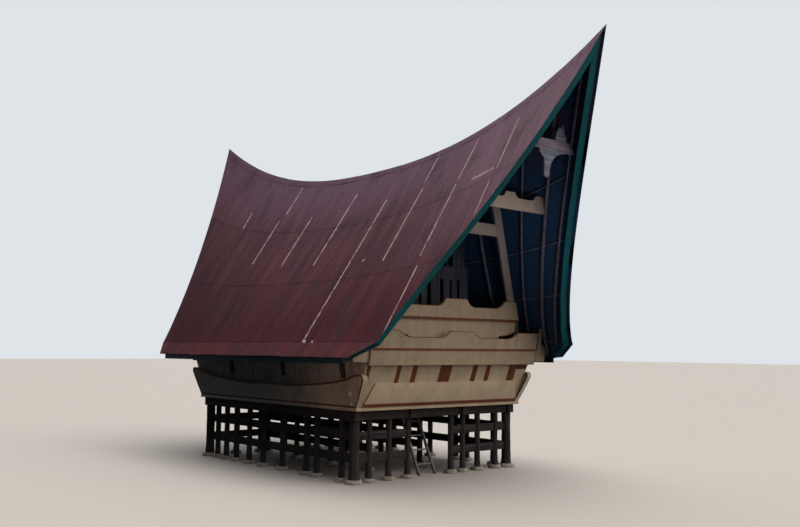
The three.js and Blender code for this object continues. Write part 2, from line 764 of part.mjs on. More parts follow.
const legMiddle = (height) => legFoot.x + ((legHead.x - legFoot.x) * height) / frameHeight;
const legFootHeight = gap / Math.cos(frameTilt) + (legThickness / 2) * Math.tan(frameTilt);
for (const [side, name] of [[-1, "left"], [1, "right"]]) {
  frameBoard("front_gable_leg_" + name, polygon([
    [side * (legMiddle(legFootHeight) - legHalfAcross), legFootHeight],
    [side * (legMiddle(legFootHeight) + legHalfAcross), legFootHeight],
    [side * (legMiddle(frameHeight) + legHalfAcross), frameHeight],
    [side * (legMiddle(frameHeight) - legHalfAcross), frameHeight],
  ]), legThickness);
}
const lowTie = { bottom: 2840, top: 3130, thickness: 50 };
frameBoard("front_gable_tie", polygon([
  [-(legMiddle(lowTie.bottom) - legHalfAcross - gap), lowTie.bottom],
  [legMiddle(lowTie.bottom) - legHalfAcross - gap, lowTie.bottom],
  [legMiddle(lowTie.top) - legHalfAcross - gap, lowTie.top],
  [-(legMiddle(lowTie.top) - legHalfAcross - gap), lowTie.top],
]), lowTie.thickness);

// Head beam on the tops of the legs, cut to the rafters
const headBeamFoot = legHead.z + (legThickness / 2) * Math.sin(frameTilt) + gap;
const headBeam = { halfLength: 1400, front: -4270, rear: -4150, height: 125 };
add("front_head_beam", trim(
  box(
    -headBeam.halfLength, headBeam.halfLength, headBeam.front, headBeam.rear,
    headBeamFoot, headBeamFoot + headBeam.height,
  ),
  spaceUnder(rafterBottom + rafterClearance),
), "darkWood");

// Ties across the gables, cut to the slopes
const tieBoardThickness = 50;

function collarTie(gable, place, halfWidth) {
  const shape = scallopedOutline({
    foot: 6190, top: 6600, dip: 6470, footHalf: halfWidth, topHalf: halfWidth,
    middleHalf: 150, shoulder: 120, endDip: 760,
  });
  const board = crossBoard(shape, gable, gable.sign * place, 0, 0, tieBoardThickness);
  return trim(board, spaceUnder(sheetThickness + gap));
}
add("front_collar_tie", collarTie(frontGable, 5125, 1150), "creamPaint");
add("rear_collar_tie", collarTie(rearGable, 5510, 1180), "creamPaint");

// Upper tie of the front gable, with the worn bracket below its middle and the worn crest above it
const upperTieFace = -6370;

function upperTie() {
  const shape = polygon([
    [-1200, 7330], [-450, 7340], [-430, 7250], [-300, 7150], [-290, 6980], [-310, 6770], [-240, 6720],
    [-140, 6750], [-130, 6900], [-60, 7060], [60, 7200], [240, 7290], [440, 7330], [1200, 7340],
    [1200, 7580], [460, 7580], [450, 7700], [390, 7760], [370, 7990], [290, 7880], [220, 7900],
    [110, 7710], [90, 7580], [-1200, 7560],
  ]);
  const board = crossBoard(shape, frontGable, upperTieFace, 0, 0, tieBoardThickness);
  return trim(board, spaceUnder(rafterBottom + rafterClearance));
}
add("front_upper_tie", upperTie(), "weatheredWood");

// Entry ladder: two rails and four rungs, leaning against the rear edge of the hatch
function entryLadder() {
  const slope = Math.atan(ladderLean);
  const length = ladderTop / Math.cos(slope);
  const railPlace = (ladderWidth - railWidth) / 2;
  const rails = [-1, 1].map((side) => {
    const rail = new THREE.BoxGeometry(railWidth, railDepth, length + railSpare).rotateX(-slope);
    const middle = ladderFoot + (ladderLean * ladderTop) / 2;
    return rail.translate(ladderMiddle + side * railPlace, middle, ladderTop / 2);
  });
  const rungs = rungHeights.map((z) => {
    const y = ladderFoot + ladderLean * z;
    return box(
      ladderMiddle - railPlace, ladderMiddle + railPlace,
      y - rungHalfDepth, y + rungHalfDepth, z - rungHalfHeight, z + rungHalfHeight,
    );
  });
  return trim(join([...rails, ...rungs]), box(-farAway, farAway, -farAway, farAway, 0, ladderTop));
}
add("entry_ladder", entryLadder(), "weatheredWood");

export default house;
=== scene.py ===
import random
from math import atan, ceil, cos, floor, hypot, pi, radians

import bpy
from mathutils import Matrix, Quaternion, Vector


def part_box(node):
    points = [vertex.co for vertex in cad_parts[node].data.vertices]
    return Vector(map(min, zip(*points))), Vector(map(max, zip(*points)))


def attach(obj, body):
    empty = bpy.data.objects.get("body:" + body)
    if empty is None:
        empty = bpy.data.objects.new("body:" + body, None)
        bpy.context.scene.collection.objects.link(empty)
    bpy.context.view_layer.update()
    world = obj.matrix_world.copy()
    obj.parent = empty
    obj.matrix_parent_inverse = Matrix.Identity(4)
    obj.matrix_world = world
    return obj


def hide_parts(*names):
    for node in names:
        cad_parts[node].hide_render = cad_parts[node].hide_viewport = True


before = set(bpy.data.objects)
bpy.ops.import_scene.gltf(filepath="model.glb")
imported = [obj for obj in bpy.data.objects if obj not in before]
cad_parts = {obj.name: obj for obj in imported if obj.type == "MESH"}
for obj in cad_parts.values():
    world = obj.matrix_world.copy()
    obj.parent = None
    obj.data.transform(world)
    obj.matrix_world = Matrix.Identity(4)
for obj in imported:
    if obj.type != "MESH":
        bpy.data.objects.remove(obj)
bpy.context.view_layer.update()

# Camera: it looks from the front left, 3 m above the ground, at the same angle as the photograph.
# It is turned to the middle of the house, and its lens is longer, so that the house fills the frame.
eye = Vector((-14.807, -18.745, 3.012))
aim = Vector((-0.52, -1.86, 5.14))
camera_roll = radians(0.48)
camera_data = bpy.data.cameras.new("camera")
camera_data.sensor_width = 36
camera_data.lens = 40
camera = bpy.data.objects.new("camera", camera_data)
link = bpy.context.scene.collection.objects.link
link(camera)
camera.location = eye
camera.rotation_mode = "QUATERNION"
camera.rotation_quaternion = (aim - eye).to_track_quat("-Z", "Y") @ Quaternion((0, 0, 1), camera_roll)
bpy.context.scene.camera = camera

# Floor and light: a wide pale floor, and a soft pale sky that is bright overhead and to the front right.
# As in the photograph, the slopes and the front boards are lit, and the long side is in shade.
bpy.context.scene.view_settings.view_transform = "Standard"


def linear(code):
    """A colour in sRGB hex, as linear values."""
    parts = [int(code[i:i + 2], 16) / 255 for i in (1, 3, 5)]
    return [p / 12.92 if p <= 0.04045 else ((p + 0.055) / 1.055) ** 2.4 for p in parts] + [1.0]


def feed(tree, node, inputs):
    """Gives inputs of a node their values or links."""
    for socket, value in inputs.items():
        if isinstance(value, bpy.types.NodeSocket):
            tree.links.new(value, node.inputs[socket])
        else:
            node.inputs[socket].default_value = value


def add(tree, kind, inputs=None, **settings):
    """Adds one node with its inputs and its settings, and returns its outputs."""
    made = tree.nodes.new("ShaderNode" + kind)
    for setting, value in settings.items():
        setattr(made, setting, value)
    feed(tree, made, inputs or {})
    return made.outputs


def new_finish(name):
    """A new material with its node tree and its shader."""
    material = bpy.data.materials.new(name)
    material.use_nodes = True
    return material, material.node_tree, material.node_tree.nodes["Principled BSDF"]


def begin(primitive_add, **sizes):
    """Adds one of Blender's primitives with nothing else selected."""
    bpy.ops.object.select_all(action="DESELECT")
    primitive_add(**sizes)
    return bpy.context.active_object


ground = begin(bpy.ops.mesh.primitive_plane_add, size=400)
ground.name = "studio_floor"
floor_paint, tree, shader = new_finish("matt pale floor paint")
feed(tree, shader, {"Base Color": linear("#b4aea4"), "Roughness": 0.9})
ground.data.materials.append(floor_paint)
ground.visible_diffuse = False
ground.visible_glossy = False

sky = bpy.data.worlds.new("pale sky")
sky.use_nodes = True
tree = sky.node_tree
tree.nodes.clear()
looking = add(tree, "TexCoord")["Generated"]
shade_light = [0.018, 0.023, 0.036]
full_cosine = 0.98
# The bright patches overhead, in front and behind: direction, cosine at the edge, and light.
patches = [
    ((0.12, -0.16, 0.98), 0.62, (3.15, 3.1, 3.15)),
    ((0.42, -0.8, 0.38), 0.62, (1.2, 1.08, 1.02)),
    ((0.45, 0.85, 0.3), 0.5, (0.6, 0.6, 0.62)),
]
light = shade_light
for direction, end_cosine, brightness in patches:
    towards = Vector(direction).normalized()
    facing = add(tree, "VectorMath", {0: looking, 1: towards}, operation="DOT_PRODUCT")["Value"]
    share = add(tree, "MapRange", {"Value": facing, "From Min": end_cosine, "From Max": full_cosine},
                interpolation_type="SMOOTHSTEP")["Result"]
    part = add(tree, "VectorMath", {0: brightness, "Scale": share}, operation="SCALE")["Vector"]
    light = add(tree, "VectorMath", {0: light, 1: part}, operation="ADD")["Vector"]
lit = add(tree, "Background", {"Color": light})["Background"]
seen = add(tree, "Background", {"Color": linear("#dfe4e9")})["Background"]
to_camera = add(tree, "LightPath")["Is Camera Ray"]
either = add(tree, "MixShader", {"Fac": to_camera, 1: lit, 2: seen})["Shader"]
add(tree, "OutputWorld", {"Surface": either})
bpy.context.scene.world = sky

# Three wide soft spots lift the shade: at the near corner, under the front gable and below the front tip.
spots = [
    ("corner light", (-10.0, -5.0, 2.2), (-2.8, -3.5, 2.0), 235, "#ffdcca"),
    ("gable light", (-1.5, -9.5, 3.2), (1.9, -3.8, 6.0), 250, "#e9e6ff"),
    ("tip light", (-1.2, -12.0, 4.6), (0.4, -6.0, 8.3), 90, "#f0dcff"),
]
for lamp_name, stand, target, watts, tint in spots:
    lamp_data = bpy.data.lights.new(lamp_name, "SPOT")
    lamp_data.energy = watts
    lamp_data.color = linear(tint)[:3]
    lamp_data.shadow_soft_size = 1.2
    lamp_data.spot_size = radians(48)
    lamp_data.spot_blend = 1.0
    lamp = bpy.data.objects.new(lamp_name, lamp_data)
    link(lamp)
    lamp.location = stand
    lamp.rotation_mode = "QUATERNION"
    lamp.rotation_quaternion = (Vector(target) - lamp.location).to_track_quat("-Z", "Y")

# Posts: round hardwood logs, each on a flat stone, in rows below the walls and below the floor joists.
# They were dressed with an adze and never painted, so they are ridged and a little crooked.
post_top = 1.4
stone_height = 0.09
post_radius = 0.075
corner_radius = 0.12
foot_flare = 1.15
flare_height = 0.3
foot_sunk = 0.01
slimmer = 0.96
stone_foot_spread = 0.11
stone_top_spread = 0.075
front_row = -2.64
rear_row = 4.01
side_row = 2.48
inner_row = 0.85
left_of_ladder = -0.9
right_of_ladder = 0.5
front_left = [-side_row, -2.06, -1.48, left_of_ladder]
front_right = [right_of_ladder, 0.9, 1.42, 2.06, side_row]
rear_places = [-side_row, -1.65, -0.85, 0, 0.85, 1.65, side_row]
side_places = [-2.18, -1.19, -0.76, 0.29, 1.21, 1.89, 2.54, 3.08, 3.56]
inner_places = [-1.1, 0.5, 2.1, 3.6]
tie_levels = [0.46, 0.95]
tie_height = 0.195
tie_thickness = 0.05

shift = random.Random(7)


def only(piece):
    """Selects one piece and makes it the active one."""
    bpy.ops.object.select_all(action="DESELECT")
    piece.select_set(True)
    bpy.context.view_layer.objects.active = piece


def fix_place():
    """Puts the place, turn and size of the selected pieces into their meshes."""
    bpy.ops.object.transform_apply(location=True, rotation=True, scale=True)


def weld(pieces):
    """Joins pieces into the first one, with their places in its mesh."""
    bpy.ops.object.select_all(action="DESELECT")
    for piece in pieces:
        piece.select_set(True)
    bpy.context.view_layer.objects.active = pieces[0]
    if len(pieces) > 1:
        bpy.ops.object.join()
    fix_place()
    return pieces[0]


def coat(piece, finishes):
    """Gives a piece its finishes in order; its faces then name one by its number."""
    piece.data.materials.clear()
    for finish in finishes:
        piece.data.materials.append(finish)


def settle(piece, name, finishes, slot, *nodes):
    """Names a piece, gives it finishes if it has none yet, and lets it ride and stand for CAD nodes."""
    piece.name = name
    piece.data.name = name
    only(piece)
    fix_place()
    if finishes:
        coat(piece, finishes)
    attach(piece, "root")
    if nodes:
        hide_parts(*nodes)


def smooth(angle):
    """Smooths the shading of the selected piece, where its faces turn by less than an angle."""
    bpy.ops.object.shade_smooth_by_angle(angle=radians(angle))


def roughen(piece, size, depth):
    """Pushes the surface in and out by clouds of a size, in metres, as hand work and weather do."""
    only(piece)
    clouds = bpy.data.textures.new("lumps", "CLOUDS")
    clouds.noise_scale = size
    lumps = piece.modifiers.new("lumps", "DISPLACE")
    lumps.texture = clouds
    lumps.texture_coords = "LOCAL"
    lumps.strength = depth
    bpy.ops.object.modifier_apply(modifier=lumps.name)


def timber(name, along, light, dark, paint=None, bare=0.1, soil=0.35, streak=0.05):
    """Wood whose grain runs along an axis (0, 1 or 2), under old paint that has gone from a share of it.

    The real grain is 1 to 3 mm wide, too fine to show, so it is drawn about streak metres wide and
    longer than wide by a fixed number of times. Rain has left runs and patches of soil on it."""
    material, tree, shader = new_finish(name)
    place = add(tree, "TexCoord")["Object"]
    times_longer = 22
    stretch = [1 / streak] * 3
    stretch[along] = 1 / (streak * times_longer)
    grain_place = add(tree, "Mapping", {"Vector": place, "Scale": stretch})["Vector"]
    grain = add(tree, "TexNoise",
                {"Vector": grain_place, "Scale": 1.0, "Detail": 5.0, "Roughness": 0.65})["Fac"]
    figure = add(tree, "MapRange", {"Value": grain, "From Min": 0.32, "From Max": 0.68})["Result"]
    colour = add(tree, "MixRGB", {"Fac": figure, "Color1": linear(dark), "Color2": linear(light)})["Color"]
    clouds = add(tree, "TexNoise", {"Vector": place, "Scale": 1.7, "Detail": 6.0, "Roughness": 0.6})["Fac"]
    if paint:
        flakes = add(tree, "TexNoise",
                     {"Vector": grain_place, "Scale": 2.3, "Detail": 8.0, "Roughness": 0.75})["Fac"]
        loose = add(tree, "Math", {0: flakes, 1: clouds}, operation="ADD")["Value"]
        cracked, flaked = 1.36 - bare, 1.44 - bare
        gone = add(tree, "MapRange", {"Value": loose, "From Min": cracked, "From Max": flaked})["Result"]
        thin_coat = add(tree, "MixRGB", {"Fac": 0.09, "Color1": linear(paint), "Color2": colour})["Color"]
        colour = add(tree, "MixRGB", {"Fac": gone, "Color1": thin_coat, "Color2": colour})["Color"]
    rain_path = add(tree, "Mapping", {"Vector": place, "Scale": (7, 7, 0.6)})["Vector"]
    rain = add(tree, "TexNoise", {"Vector": rain_path, "Scale": 1.0, "Detail": 4.0, "Roughness": 0.6})["Fac"]
    run = add(tree, "MapRange",
              {"Value": rain, "From Min": 0.45, "From Max": 0.75, "To Max": soil})["Result"]
    patch = add(tree, "MapRange",
                {"Value": clouds, "From Min": 0.45, "From Max": 0.7, "To Max": soil})["Result"]
    dirt = add(tree, "Math", {0: run, 1: patch}, operation="MAXIMUM")["Value"]
    final = add(tree, "MixRGB", {"Fac": dirt, "Color1": colour, "Color2": linear("#6d6153")},
                blend_type="MULTIPLY")["Color"]
    bump = add(tree, "Bump", {"Height": grain, "Strength": 0.5, "Distance": 0.004})["Normal"]
    feed(tree, shader, {"Base Color": final, "Normal": bump, "Roughness": 0.62 if paint else 0.88,
                        "Specular IOR Level": 0.35})
    return material


# The logs are bare hardwood with an upright grain: dark grey from age and painted shade, nearly black in the
# checks.
shade_dark_log_wood = timber("bare hardwood darkened as painted shade, upright", 2, "#403c39", "#1a1817", streak=0.045)
# The tie planks have the same dark grey, partly painted shade under the house.
shade_dark_plank_wood_x = timber("bare hardwood darkened as painted shade, across", 0, "#423e3b", "#1b1918", streak=0.045)
shade_dark_plank_wood_y = timber("bare hardwood darkened as painted shade, lengthways", 1, "#423e3b", "#1b1918", streak=0.045)

# The stones are river boulders split flat: dull, pale and grainy, with darker hollows.
stone, tree, shader = new_finish("split river stone")
stone_place = add(tree, "TexCoord")["Object"]
speckle = add(tree, "TexNoise",
              {"Vector": stone_place, "Scale": 26.0, "Detail": 8.0, "Roughness": 0.7})["Fac"]
speckle_range = add(tree, "MapRange", {"Value": speckle, "From Min": 0.35, "From Max": 0.65})["Result"]
stone_colour = add(tree, "MixRGB",
                   {"Fac": speckle_range, "Color1": linear("#6d665c"), "Color2": linear("#b0a898")})["Color"]
stone_bump = add(tree, "Bump", {"Height": speckle, "Strength": 0.6, "Distance": 0.012})["Normal"]
feed(tree, shader, {"Base Color": stone_colour, "Normal": stone_bump, "Roughness": 0.9})


def edit(kind=None):
    """Enters edit mode with everything selected, or with what code has selected of a kind."""
    bpy.ops.object.mode_set(mode="EDIT")
    if kind:
        bpy.ops.mesh.select_mode(type=kind)
    else:
        bpy.ops.mesh.select_all(action="SELECT")


def leave_edit():
    """Leaves edit mode, which writes the changes into the mesh."""
    bpy.ops.object.mode_set(mode="OBJECT")


def model_log(radius):
    """A log with a flared foot on its stone at the origin, a little slimmer to leave room for its lumps."""
    foot = stone_height - foot_sunk
    length = post_top - foot
    log = begin(bpy.ops.mesh.primitive_cylinder_add, vertices=12, radius=radius * slimmer, depth=length,
                location=(0, 0, foot + length / 2))
    fix_place()
    for edge in log.data.edges:
        ends = [log.data.vertices[v].co for v in edge.vertices]
        edge.select = abs(ends[0].z - ends[1].z) > length / 2
    for face in log.data.polygons:
        face.select = False
    edit("EDGE")
    bpy.ops.mesh.subdivide(number_cuts=9)
    leave_edit()
    for vertex in log.data.vertices:
        low = max(0.0, 1 - (vertex.co.z - foot) / flare_height)
        swell = 1 + (foot_flare - 1) * low
        vertex.co.x *= swell
        vertex.co.y *= swell
    roughen(log, size=0.16, depth=radius * 0.22)
    roughen(log, size=0.03, depth=radius * 0.1)
    smooth(50)
    return log


def model_stone(radius):
    """A flat stone at the origin, wider at its foot."""
    block = begin(bpy.ops.mesh.primitive_cone_add, vertices=9, radius1=radius + stone_foot_spread,
                  radius2=radius + stone_top_spread, depth=stone_height, location=(0, 0, stone_height / 2))
    fix_place()
    edit()
    bpy.ops.mesh.bevel(offset=0.02, segments=2, affect="EDGES")
    bpy.ops.mesh.quads_convert_to_tris()
    bpy.ops.mesh.subdivide(number_cuts=1)
    leave_edit()
    roughen(block, size=0.08, depth=0.024)
    for vertex in block.data.vertices:
        vertex.co.z = min(max(vertex.co.z, 0.0), stone_height)
    smooth(40)
    return block


def pick_none(piece):
    """Deselects every point, edge and face of a piece, so that code can select a few."""
    for group in (piece.data.vertices, piece.data.edges, piece.data.polygons):
        for item in group:
            item.select = False


def ease(piece, edge, angle=30):
    """Rounds off the active piece's edges where its faces turn by more than an angle, and smooths it."""
    if edge:
        rounding = piece.modifiers.new("eased edges", "BEVEL")
        rounding.width = edge
        rounding.segments = 2
        rounding.limit_method = "ANGLE"
        rounding.angle_limit = radians(angle)
        bpy.ops.object.modifier_apply(modifier=rounding.name)
    smooth(35)


def model_board(low, high, edge, cuts=2):
    """A sawn board between two corners, with eased edges and cuts across it so that it can warp."""
    board = begin(bpy.ops.mesh.primitive_cube_add, size=1)
    board.location = (Vector(low) + Vector(high)) / 2
    board.scale = Vector(high) - Vector(low)
    fix_place()
    longest = max(range(3), key=lambda axis: high[axis] - low[axis])
    pick_none(board)
    for line in board.data.edges:
        a, b = [board.data.vertices[v].co for v in line.vertices]
        line.select = abs(a[longest] - b[longest]) > (high[longest] - low[longest]) / 2
    edit("EDGE")
    bpy.ops.mesh.subdivide(number_cuts=cuts)
    leave_edit()
    ease(board, edge)
    return board


logs = {radius: model_log(radius) for radius in (post_radius, corner_radius)}
blocks = {radius: model_stone(radius) for radius in (post_radius, corner_radius)}


def stand_row(name, places, ties, grain, node):
    """Copies of the log and the stone at each place, and the tie planks that run through the logs."""
    row_logs = []
    row_stones = []
    for x, y in places:
        radius = corner_radius if abs(x) == side_row and y in (front_row, rear_row) else post_radius
        for model, copies in ((logs[radius], row_logs), (blocks[radius], row_stones)):
            copied = model.copy()
            copied.data = model.data.copy()
            link(copied)
            copied.location = (x, y, 0)
            copied.rotation_euler.z = shift.uniform(0, 2 * pi)
            copies.append(copied)
    settle(weld(row_logs), name + "_logs", [shade_dark_log_wood], "weathered_wood", node)
    settle(weld(row_stones), name + "_stones", [stone], "weathered_wood")
    planks = weld([model_board(low, high, edge=0.009, cuts=8) for low, high in ties])
    roughen(planks, size=0.25, depth=0.008)
    settle(planks, name + "_ties", [grain], "weathered_wood")


def ties_across(y, start, end):
    """The corners of the tie planks in a row from side to side."""
    half = tie_thickness / 2
    return [((start, y - half, z), (end, y + half, z + tie_height)) for z in tie_levels]


def ties_along(x, start, end):
    """The corners of the tie planks in a row from front to rear."""
    half = tie_thickness / 2
    return [((x - half, start, z), (x + half, end, z + tie_height)) for z in tie_levels]


stand_row("front_left", [(x, front_row) for x in front_left],
          ties_across(front_row, -side_row, left_of_ladder), shade_dark_plank_wood_x, "front_posts_left")
stand_row("front_right", [(x, front_row) for x in front_right],
          ties_across(front_row, right_of_ladder, side_row), shade_dark_plank_wood_x, "front_posts_right")
stand_row("rear", [(x, rear_row) for x in rear_places],
          ties_across(rear_row, -side_row, side_row), shade_dark_plank_wood_x, "rear_posts")
sides = [(-1, "left"), (1, "right")]
for side, side_name in sides:
    low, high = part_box("side_posts_" + side_name)
    stand_row("side_" + side_name, [(side * side_row, y) for y in side_places],
              ties_along(side * side_row, low.y, high.y), shade_dark_plank_wood_y, "side_posts_" + side_name)
    stand_row("inner_" + side_name, [(side * inner_row, y) for y in inner_places],
              ties_along(side * inner_row, inner_places[0], inner_places[-1]), shade_dark_plank_wood_y,
              "inner_posts_" + side_name)
for model in (*logs.values(), *blocks.values()):
    bpy.data.objects.remove(model)

# Floor frame and loft frame: squared hardwood beams, notched over each other and never painted.
# Smoke from the hearth has turned them dark brown, and they are darker still as painted shade.
smoked_shaded_beam_wood = timber("smoked hardwood darkened as painted shade, lengthways", 1, "#4b413a", "#241e1b", streak=0.06)


def eased_copy(node, edge, angle=32):
    """A merged copy of a CAD node's mesh with eased edges, or with sharp ones where edge is 0."""
    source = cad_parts[node]
    copied = bpy.data.objects.new(node + "_dressed", source.data.copy())
    link(copied)
    only(copied)
    edit()
    bpy.ops.mesh.customdata_custom_splitnormals_clear()
    bpy.ops.mesh.remove_doubles(threshold=0.0002)
    bpy.ops.mesh.dissolve_limited(angle_limit=radians(0.6))
    leave_edit()
    ease(copied, edge, angle)
    return copied


def dress(node, name, edge, finish, slot, angle=32):
    """Lets an eased copy of a CAD node, in one finish, stand for it."""
    settle(eased_copy(node, edge, angle), name, [finish], slot, node)


dress("floor_frame", "floor_beams", 0.008, smoked_shaded_beam_wood, "dark_wood")
dress("loft_frame", "loft_beams", 0.008, smoked_shaded_beam_wood, "dark_wood")

# Floor boards: wide planks laid lengthways on the beams, with the hatch over the ladder left open.
# They are worn smooth and a little grey between the walls.
board_pitch = 0.28
half_joint = 0.002
narrowest = 0.02
hatch_left, hatch_right, hatch_front, hatch_rear = -0.56, 0.26, -2.35, -1.652
floor_low, floor_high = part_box("floor_boards")
planks = []
count = ceil((floor_high.x - floor_low.x) / board_pitch)
joints = [floor_low.x + i * board_pitch for i in range(count)]
joints = sorted([*joints, floor_high.x, hatch_left, hatch_right])
for left, right in zip(joints, joints[1:]):
    if right - left < narrowest:
        continue
    if hatch_left < (left + right) / 2 < hatch_right:
        runs = [(floor_low.y, hatch_front), (hatch_rear, floor_high.y)]
    else:
        runs = [(floor_low.y, floor_high.y)]
    for start, end in runs:
        low = (left + half_joint, start, floor_low.z)
        high = (right - half_joint, end, floor_high.z)
        planks.append(model_board(low, high, edge=0.003))
floor_wood = timber("worn floor planks", 1, "#6b5f53", "#3a322c")
settle(weld(planks), "floor_planks", [floor_wood], "dark_wood", "floor_boards")

# Sill: a low frame of planed timber round the floor, painted cream like the boards above it.
# The paint is chalky oil paint, with small bare flakes along the grain and faint runs of dirt.
cream = "#cbb695"
bare_wood = "#857868"
dark_bare = "#4d443b"
cream_x = timber("weathered cream paint, across", 0, bare_wood, dark_bare, "#d4bf9d", bare=0.08, soil=0.3)
cream_y = timber("weathered cream paint, lengthways", 1, bare_wood, dark_bare, cream, bare=0.1, soil=0.35)
cream_z = timber("weathered cream paint, upright", 2, bare_wood, dark_bare, cream, bare=0.12, soil=0.35)
dress("sill_frame", "sill", 0.006, cream_y, "cream_painted_wood")

# Side boards: one long thick plank on each side, cut to a boat shape with upturned round heads.
# They are cream, with a brown line cut in along the edge and round turned knobs near each head.
brown = "#7c3e25"
brown_x = timber("red-brown oil paint, across", 0, "#5b4a3c", "#33261e", brown, bare=0.1)
brown_y = timber("red-brown oil paint, lengthways", 1, "#5b4a3c", "#33261e", brown, bare=0.1)
line_width = 0.046
line_depth = 0.003
side_lean = 0.15
front_foot = -2.93
rear_foot = 4.3

# The backs keep a thin olive-brown coat. The edge of the right board's front head is pale as a painted
# highlight.
inner_paint = timber("thin olive-brown paint of the inner faces", 1, bare_wood, dark_bare, "#a8966c",
                     bare=0.15, soil=0.35)
highlight_paint = timber("pale paint as a painted highlight", 2, bare_wood, dark_bare, "#efe8cf", bare=0.0, soil=0.3)
side_finishes = [cream_y, brown_y, inner_paint, highlight_paint]
plain_face, line_face, inner_face, highlight_face = range(4)
back_cosine = 0.9
edge_cosine = 0.4

# The knobs are turned; their paint is fresher than the boards', and paler partly as a painted highlight.
knob_paint_with_highlight = timber("fresh pale cream paint with painted highlight", 2, bare_wood, dark_bare, "#e4dac8", bare=0.0, soil=0.1)
knob_radius = 0.06
knobs_up = [(2.01, knob_radius), (1.77, knob_radius * 0.6)]
knob_inset = 0.17
knob_flat = 0.85
knob_out = 2.64
knob_level = 1.62


def edge_line(board, facing, width):
    """Cuts a thin painted line in along the edge of a board's broad face, which looks in a direction."""
    only(board)
    pick_none(board)
    broad = max(board.data.polygons, key=lambda face: face.area * max(0.0, face.normal.dot(facing)))
    broad.select = True
    rim = {tuple(board.data.vertices[v].co) for v in broad.vertices}
    edit("FACE")
    bpy.ops.mesh.inset(thickness=width, depth=-line_depth, use_even_offset=False)
    leave_edit()
    inner = {v for face in board.data.polygons if face.select for v in face.vertices}
    for face in board.data.polygons:
        own_rim = [v for v in face.vertices if tuple(board.data.vertices[v].co) in rim]
        if not face.select and own_rim and inner.intersection(face.vertices):
            face.material_index = line_face


for side, side_name in sides:
    node = "side_board_" + side_name
    board = eased_copy(node, edge=0)
    coat(board, side_finishes)
    facing = Vector((side, 0, -side_lean)).normalized()
    edge_line(board, facing, line_width)
    edge_line(board, -facing, line_width)
    for face in board.data.polygons:
        if face.material_index != plain_face:
            continue
        inward = face.normal.dot(-facing)
        at_front_head = face.center.y < front_foot
        if inward > back_cosine:
            face.material_index = inner_face
        # The pale edge on the right board's front head is a painted highlight where it catches the sky.
        elif side > 0 and abs(inward) < edge_cosine and at_front_head:
            face.material_index = highlight_face
    ease(board, edge=0.008, angle=50)
    settle(board, node + "_carved", None, "cream_painted_wood", node)
    knobs = []
    for y in (front_foot + knob_inset, rear_foot - knob_inset):
        for z, radius in knobs_up:
            knob = begin(bpy.ops.mesh.primitive_uv_sphere_add, segments=16, ring_count=10, radius=radius)
            knob.location = (side * (knob_out + side_lean * (z - knob_level)), y, z)
            knob.scale.x = knob_flat
            fix_place()
            bpy.ops.object.shade_smooth()
            knobs.append(knob)
    settle(weld(knobs), "side_knobs_" + side_name, [knob_paint_with_highlight], "cream_painted_wood")

# Side walls: upright planks behind the side boards, never painted, with dark posts that stand proud.
# Age has turned the planks grey-brown, with darker streaks down the grain.
# The planks are painted paler than that, as painted light making up for the deep shade under the eave.
lightened_wall_wood = timber("pale wall planks lightened as painted light, upright", 2, "#cfc0aa", "#8d7f6c", streak=0.05)
wall_post_wood = timber("dark wall posts, upright", 2, "#5d544a", "#322c27", streak=0.05)
post_proud = 0.004
post_face = 1
for side, side_name in sides:
    node = "side_wall_" + side_name
    wall = eased_copy(node, edge=0.005)
    coat(wall, [lightened_wall_wood, wall_post_wood])
    outward = Vector((side, 0, -side_lean)).normalized()
    broad = max(wall.data.polygons, key=lambda face: face.area * max(0.0, face.normal.dot(outward)))
    plank_plane = broad.center.dot(outward)
    for face in wall.data.polygons:
        if face.center.dot(outward) > plank_plane + post_proud:
            face.material_index = post_face
    settle(wall, node + "_planks", None, "weathered_wood", node)

# Wall plates: heavy squared beams that lie on the side walls and carry the rafters.
# They are painted cream like the boards, because their ends show at both gables.
for side_name in ("left", "right"):
    node = "wall_plate_" + side_name
    dress(node, node + "_beam", 0.008, cream_y, "cream_painted_wood")

# End walls: cream boards that lean out over the sill, with a lower board in front of them.
# Brown stripes stand above the lower board and a brown line marks its foot: both are thin nailed laths.
board_foot = 1.6953
wall_lean = 0.37
wall_tilt = atan(wall_lean)
wall_face = 2.8997
lower_face = 2.95
stripe_proud = 0.006
# The last stripe, at the right end, is painted shade: it stands for the dark gap beside the side board.
stripes = [(-2.6, -2.5), (-1.73, -1.61), (-1.26, -1.11), (-0.39, -0.02), (0.69, 0.85), (1.16, 1.31),
           (1.98, 2.24)]
stripe_foot = 2.2
stripe_head = 2.69
foot_line = (-2.49, 2.49, 1.705, 1.775)
# A short brown lath at the top of the right end is painted shade as well.
right_end_shade_lath = (2.26, 2.62, 2.53, stripe_head)


def lath(x0, x1, z0, z1, face, gable):
    """A thin lath on a front board whose foot stands out as far as face, or the same on the rear wall."""
    mirrored = front_foot + rear_foot if gable > 0 else 0
    length = (z1 - z0) / cos(wall_tilt)
    piece = model_board((x0, -stripe_proud, -length / 2), (x1, stripe_proud, length / 2), edge=0.002)
    middle = (z0 + z1) / 2
    out = face + wall_lean * (middle - board_foot)
    piece.rotation_euler.x = -gable * wall_tilt
    piece.location = (0, gable * out + mirrored, middle)
    return piece


for gable, end_name in ((-1, "front"), (1, "rear")):
    for part, edge in (("_wall", 0.004), ("_lower_board", 0.006)):
        node = end_name + part
        dress(node, node + "_boards", edge, cream_x, "cream_painted_wood")
    laths = [lath(x0, x1, stripe_foot, stripe_head, wall_face, gable) for x0, x1 in stripes]
    laths.append(lath(*foot_line, lower_face, gable))
    # This brown lath at the right end is painted shade.
    laths.append(lath(*right_end_shade_lath, wall_face, gable))
    settle(weld(laths), end_name + "_stripes", [brown_x], "cream_painted_wood")
